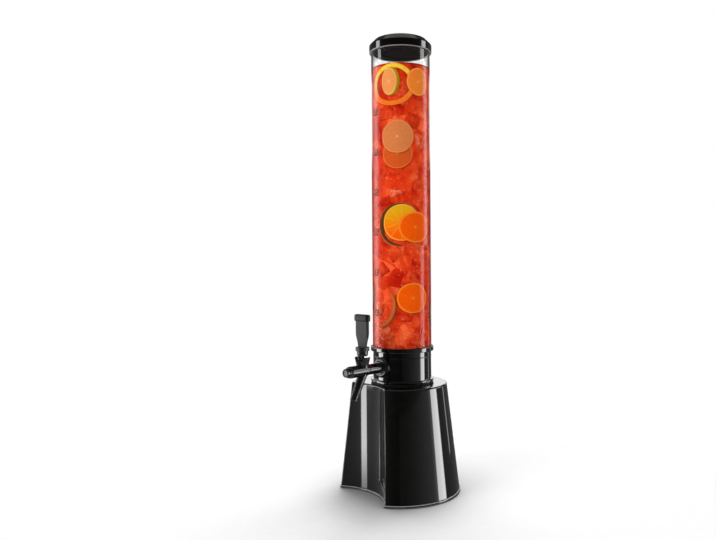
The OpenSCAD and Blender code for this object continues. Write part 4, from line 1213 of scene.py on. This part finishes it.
def studio_world():
    """What a ray finds outside the scene: plain white for the camera and straight through clear
    pieces, the mirrored room for mirror images, and even soft light for all the others."""
    world = bpy.data.worlds.new("studio")
    world.use_nodes = True
    tree = world.node_tree
    tree.nodes.clear()
    path = add(tree, "LightPath").outputs
    never_diffuse, never_mirrored, outside = (maths("LESS_THAN", path[depth + " Depth"], 0.5)
                                              for depth in ("Diffuse", "Glossy", "Transmission"))
    through = product(path["Is Transmission Ray"], never_mirrored, never_diffuse)
    shown = maths("MAXIMUM", path["Is Camera Ray"], through)
    mirrored = product(path["Is Glossy Ray"], never_diffuse, outside)
    echo = product(never_diffuse, maths("SUBTRACT", 1.0, outside), 1 - ECHO)
    light = maths("ADD", product(path["Is Transmission Ray"], INSIDE), EVEN)
    light = product(light, maths("SUBTRACT", 1.0, echo))
    even = add(tree, "Background", Strength=light, Color=(1, 1, 1))
    panels = add(tree, "Background", Strength=PANEL, Color=mirrored_room(tree))
    white = add(tree, "Background", Strength=1.0, Color=(1, 1, 1))
    lit = mix_shaders(shown, mix_shaders(mirrored, even, panels), white)
    tree.links.new(lit.outputs[0], add(tree, "OutputWorld").inputs["Surface"])
    return world


# Each level starts at a height of the mirrored direction, and lists (angle, brightness). From low
# to high, the levels are mostly seen in the base, the collar, the tube, the lid's rim and its top.
BASE_WINDOW = ((0.425, 0.14), (0.45, PANEL), (0.60, PANEL * 0.9), (0.615, 0.9), (0.68, 0.38), (1.0, 0.06))
THIN_LINE = ((0.185, 0.12), (0.195, 1.5), (0.210, 1.5), (0.220, 0.14))
LEFT = (
    (-1.0, ((0.0, 0.30), (0.40, 0.30), (0.53, 0.40), (0.545, PANEL * 0.9), (0.650, PANEL), (0.665, 0.38),
            (0.75, 0.30), (1.0, 0.16))),
    (-0.175, ((0.0, 0.14), (0.35, 0.10), (0.38, PANEL), (0.55, PANEL), (0.58, 0.10), (0.72, 0.04),
              (1.0, 0.02))),
    (-0.124, ((0.0, 0.10), (0.10, 0.10), (0.14, 0.8), (0.22, 2.2), (0.33, 4.5), (0.42, 2.4), (0.55, 0.5),
              (1.0, 0.02))),
    (0.262, ((0.0, 0.14), (0.41, 0.10), (0.43, LID_PANEL), (0.56, LID_PANEL), (0.58, 0.10), (0.72, 0.04),
             (1.0, 0.02))),
    (0.40, ((0.0, 0.06), (1.0, 0.03))))
RIGHT = (
    (-1.0, ((0.0, 0.10), *BASE_WINDOW)),
    (-0.17, ((0.0, 0.10), *THIN_LINE, *BASE_WINDOW)),
    (0.015, ((0.0, 0.10), (0.20, 0.10), (0.25, 2.0), (0.30, 4.5), (0.38, 4.5), (0.44, 1.5), (0.52, 0.3),
             (1.0, 0.02))),
    (0.262, ((0.0, 0.14), (0.36, 0.10), (0.38, LID_PANEL), (0.54, LID_PANEL), (0.56, 0.10), (0.72, 0.04),
             (1.0, 0.02))),
    (0.40, ((0.0, 0.06), (1.0, 0.03))))
bpy.context.scene.world = studio_world()
bpy.context.scene.view_settings.view_transform = "Standard"
print("the studio has", len(bpy.context.scene.world.node_tree.nodes), "nodes")

# %% Lamps
def lamp(name, place, aim, size, watts):
    """A soft square lamp at a place, turned to face a point. Only diffuse light comes from it."""
    data = bpy.data.lights.new(name, "AREA")
    data.size = size
    data.energy = watts
    holder = bpy.data.objects.new(name, data)
    holder.location = place
    back = (place - aim) / np.linalg.norm(place - aim)
    up = np.cross(back, (0.01, 1, 0.02))
    up /= np.linalg.norm(up)
    holder.rotation_euler = Matrix(np.stack([np.cross(up, back), up, back], 1).tolist()).to_euler()
    holder.visible_camera = holder.visible_glossy = holder.visible_transmission = False
    bpy.context.scene.collection.objects.link(holder)
    print(f"{name}: {watts} W at {np.round(place, 2)}")


upwards = np.array([0, 0, 1.0])
lamp("lamp_above", upwards * 2.2 - towards_camera * 0.7 + camera_right * 0.2, (0, 0, 0.2), 1.2, 46)
lamp("lamp_left", towards_camera * 1.3 - camera_right * 1.5 + upwards * 1.3, (0, 0, 0.4), 1.0, 16)

# %% Floor
def paper_finish():
    """White paper, darker where the foot shuts the light out, that fades away round the tower so
    that it has no edge. Mirror images leave it out."""
    material, tree, shader = finish_for("floor_paper", Roughness=0.55, Specular_IOR_Level=0.2)
    place = own_place(tree)
    far = vectors("LENGTH", place)
    paper = ramp(noise(place, 60.0, 5.0), *zip((0.3, 0.7), greys(0.92, 0.94)))
    lit = spread(add(tree, "AmbientOcclusion", Distance=0.16).outputs["AO"], 0.45, 1.0, 0.3, 0.95)
    wire(shader, Base_Color=blended(1.0, paper, lit, "MULTIPLY"),
         Alpha=spread(far, 1.0, 0.0, 0.22, 0.60))
    clear_for(shader, "Is Glossy Ray")
    return material


FLOOR_R, FLOOR_POINTS = 1.2, 128
around = np.linspace(0, 2 * np.pi, FLOOR_POINTS, endpoint=False)
disc = np.stack([np.cos(around), np.sin(around), 0 * around], -1) * FLOOR_R
floor_mesh = bpy.data.meshes.new("floor")
floor_mesh.from_pydata(disc.tolist(), [], [list(range(FLOOR_POINTS))])
floor_mesh.materials.append(paper_finish())
floor = bpy.data.objects.new("floor", floor_mesh)
bpy.context.scene.collection.objects.link(floor)
print("the floor is", 2 * FLOOR_R, "m wide")
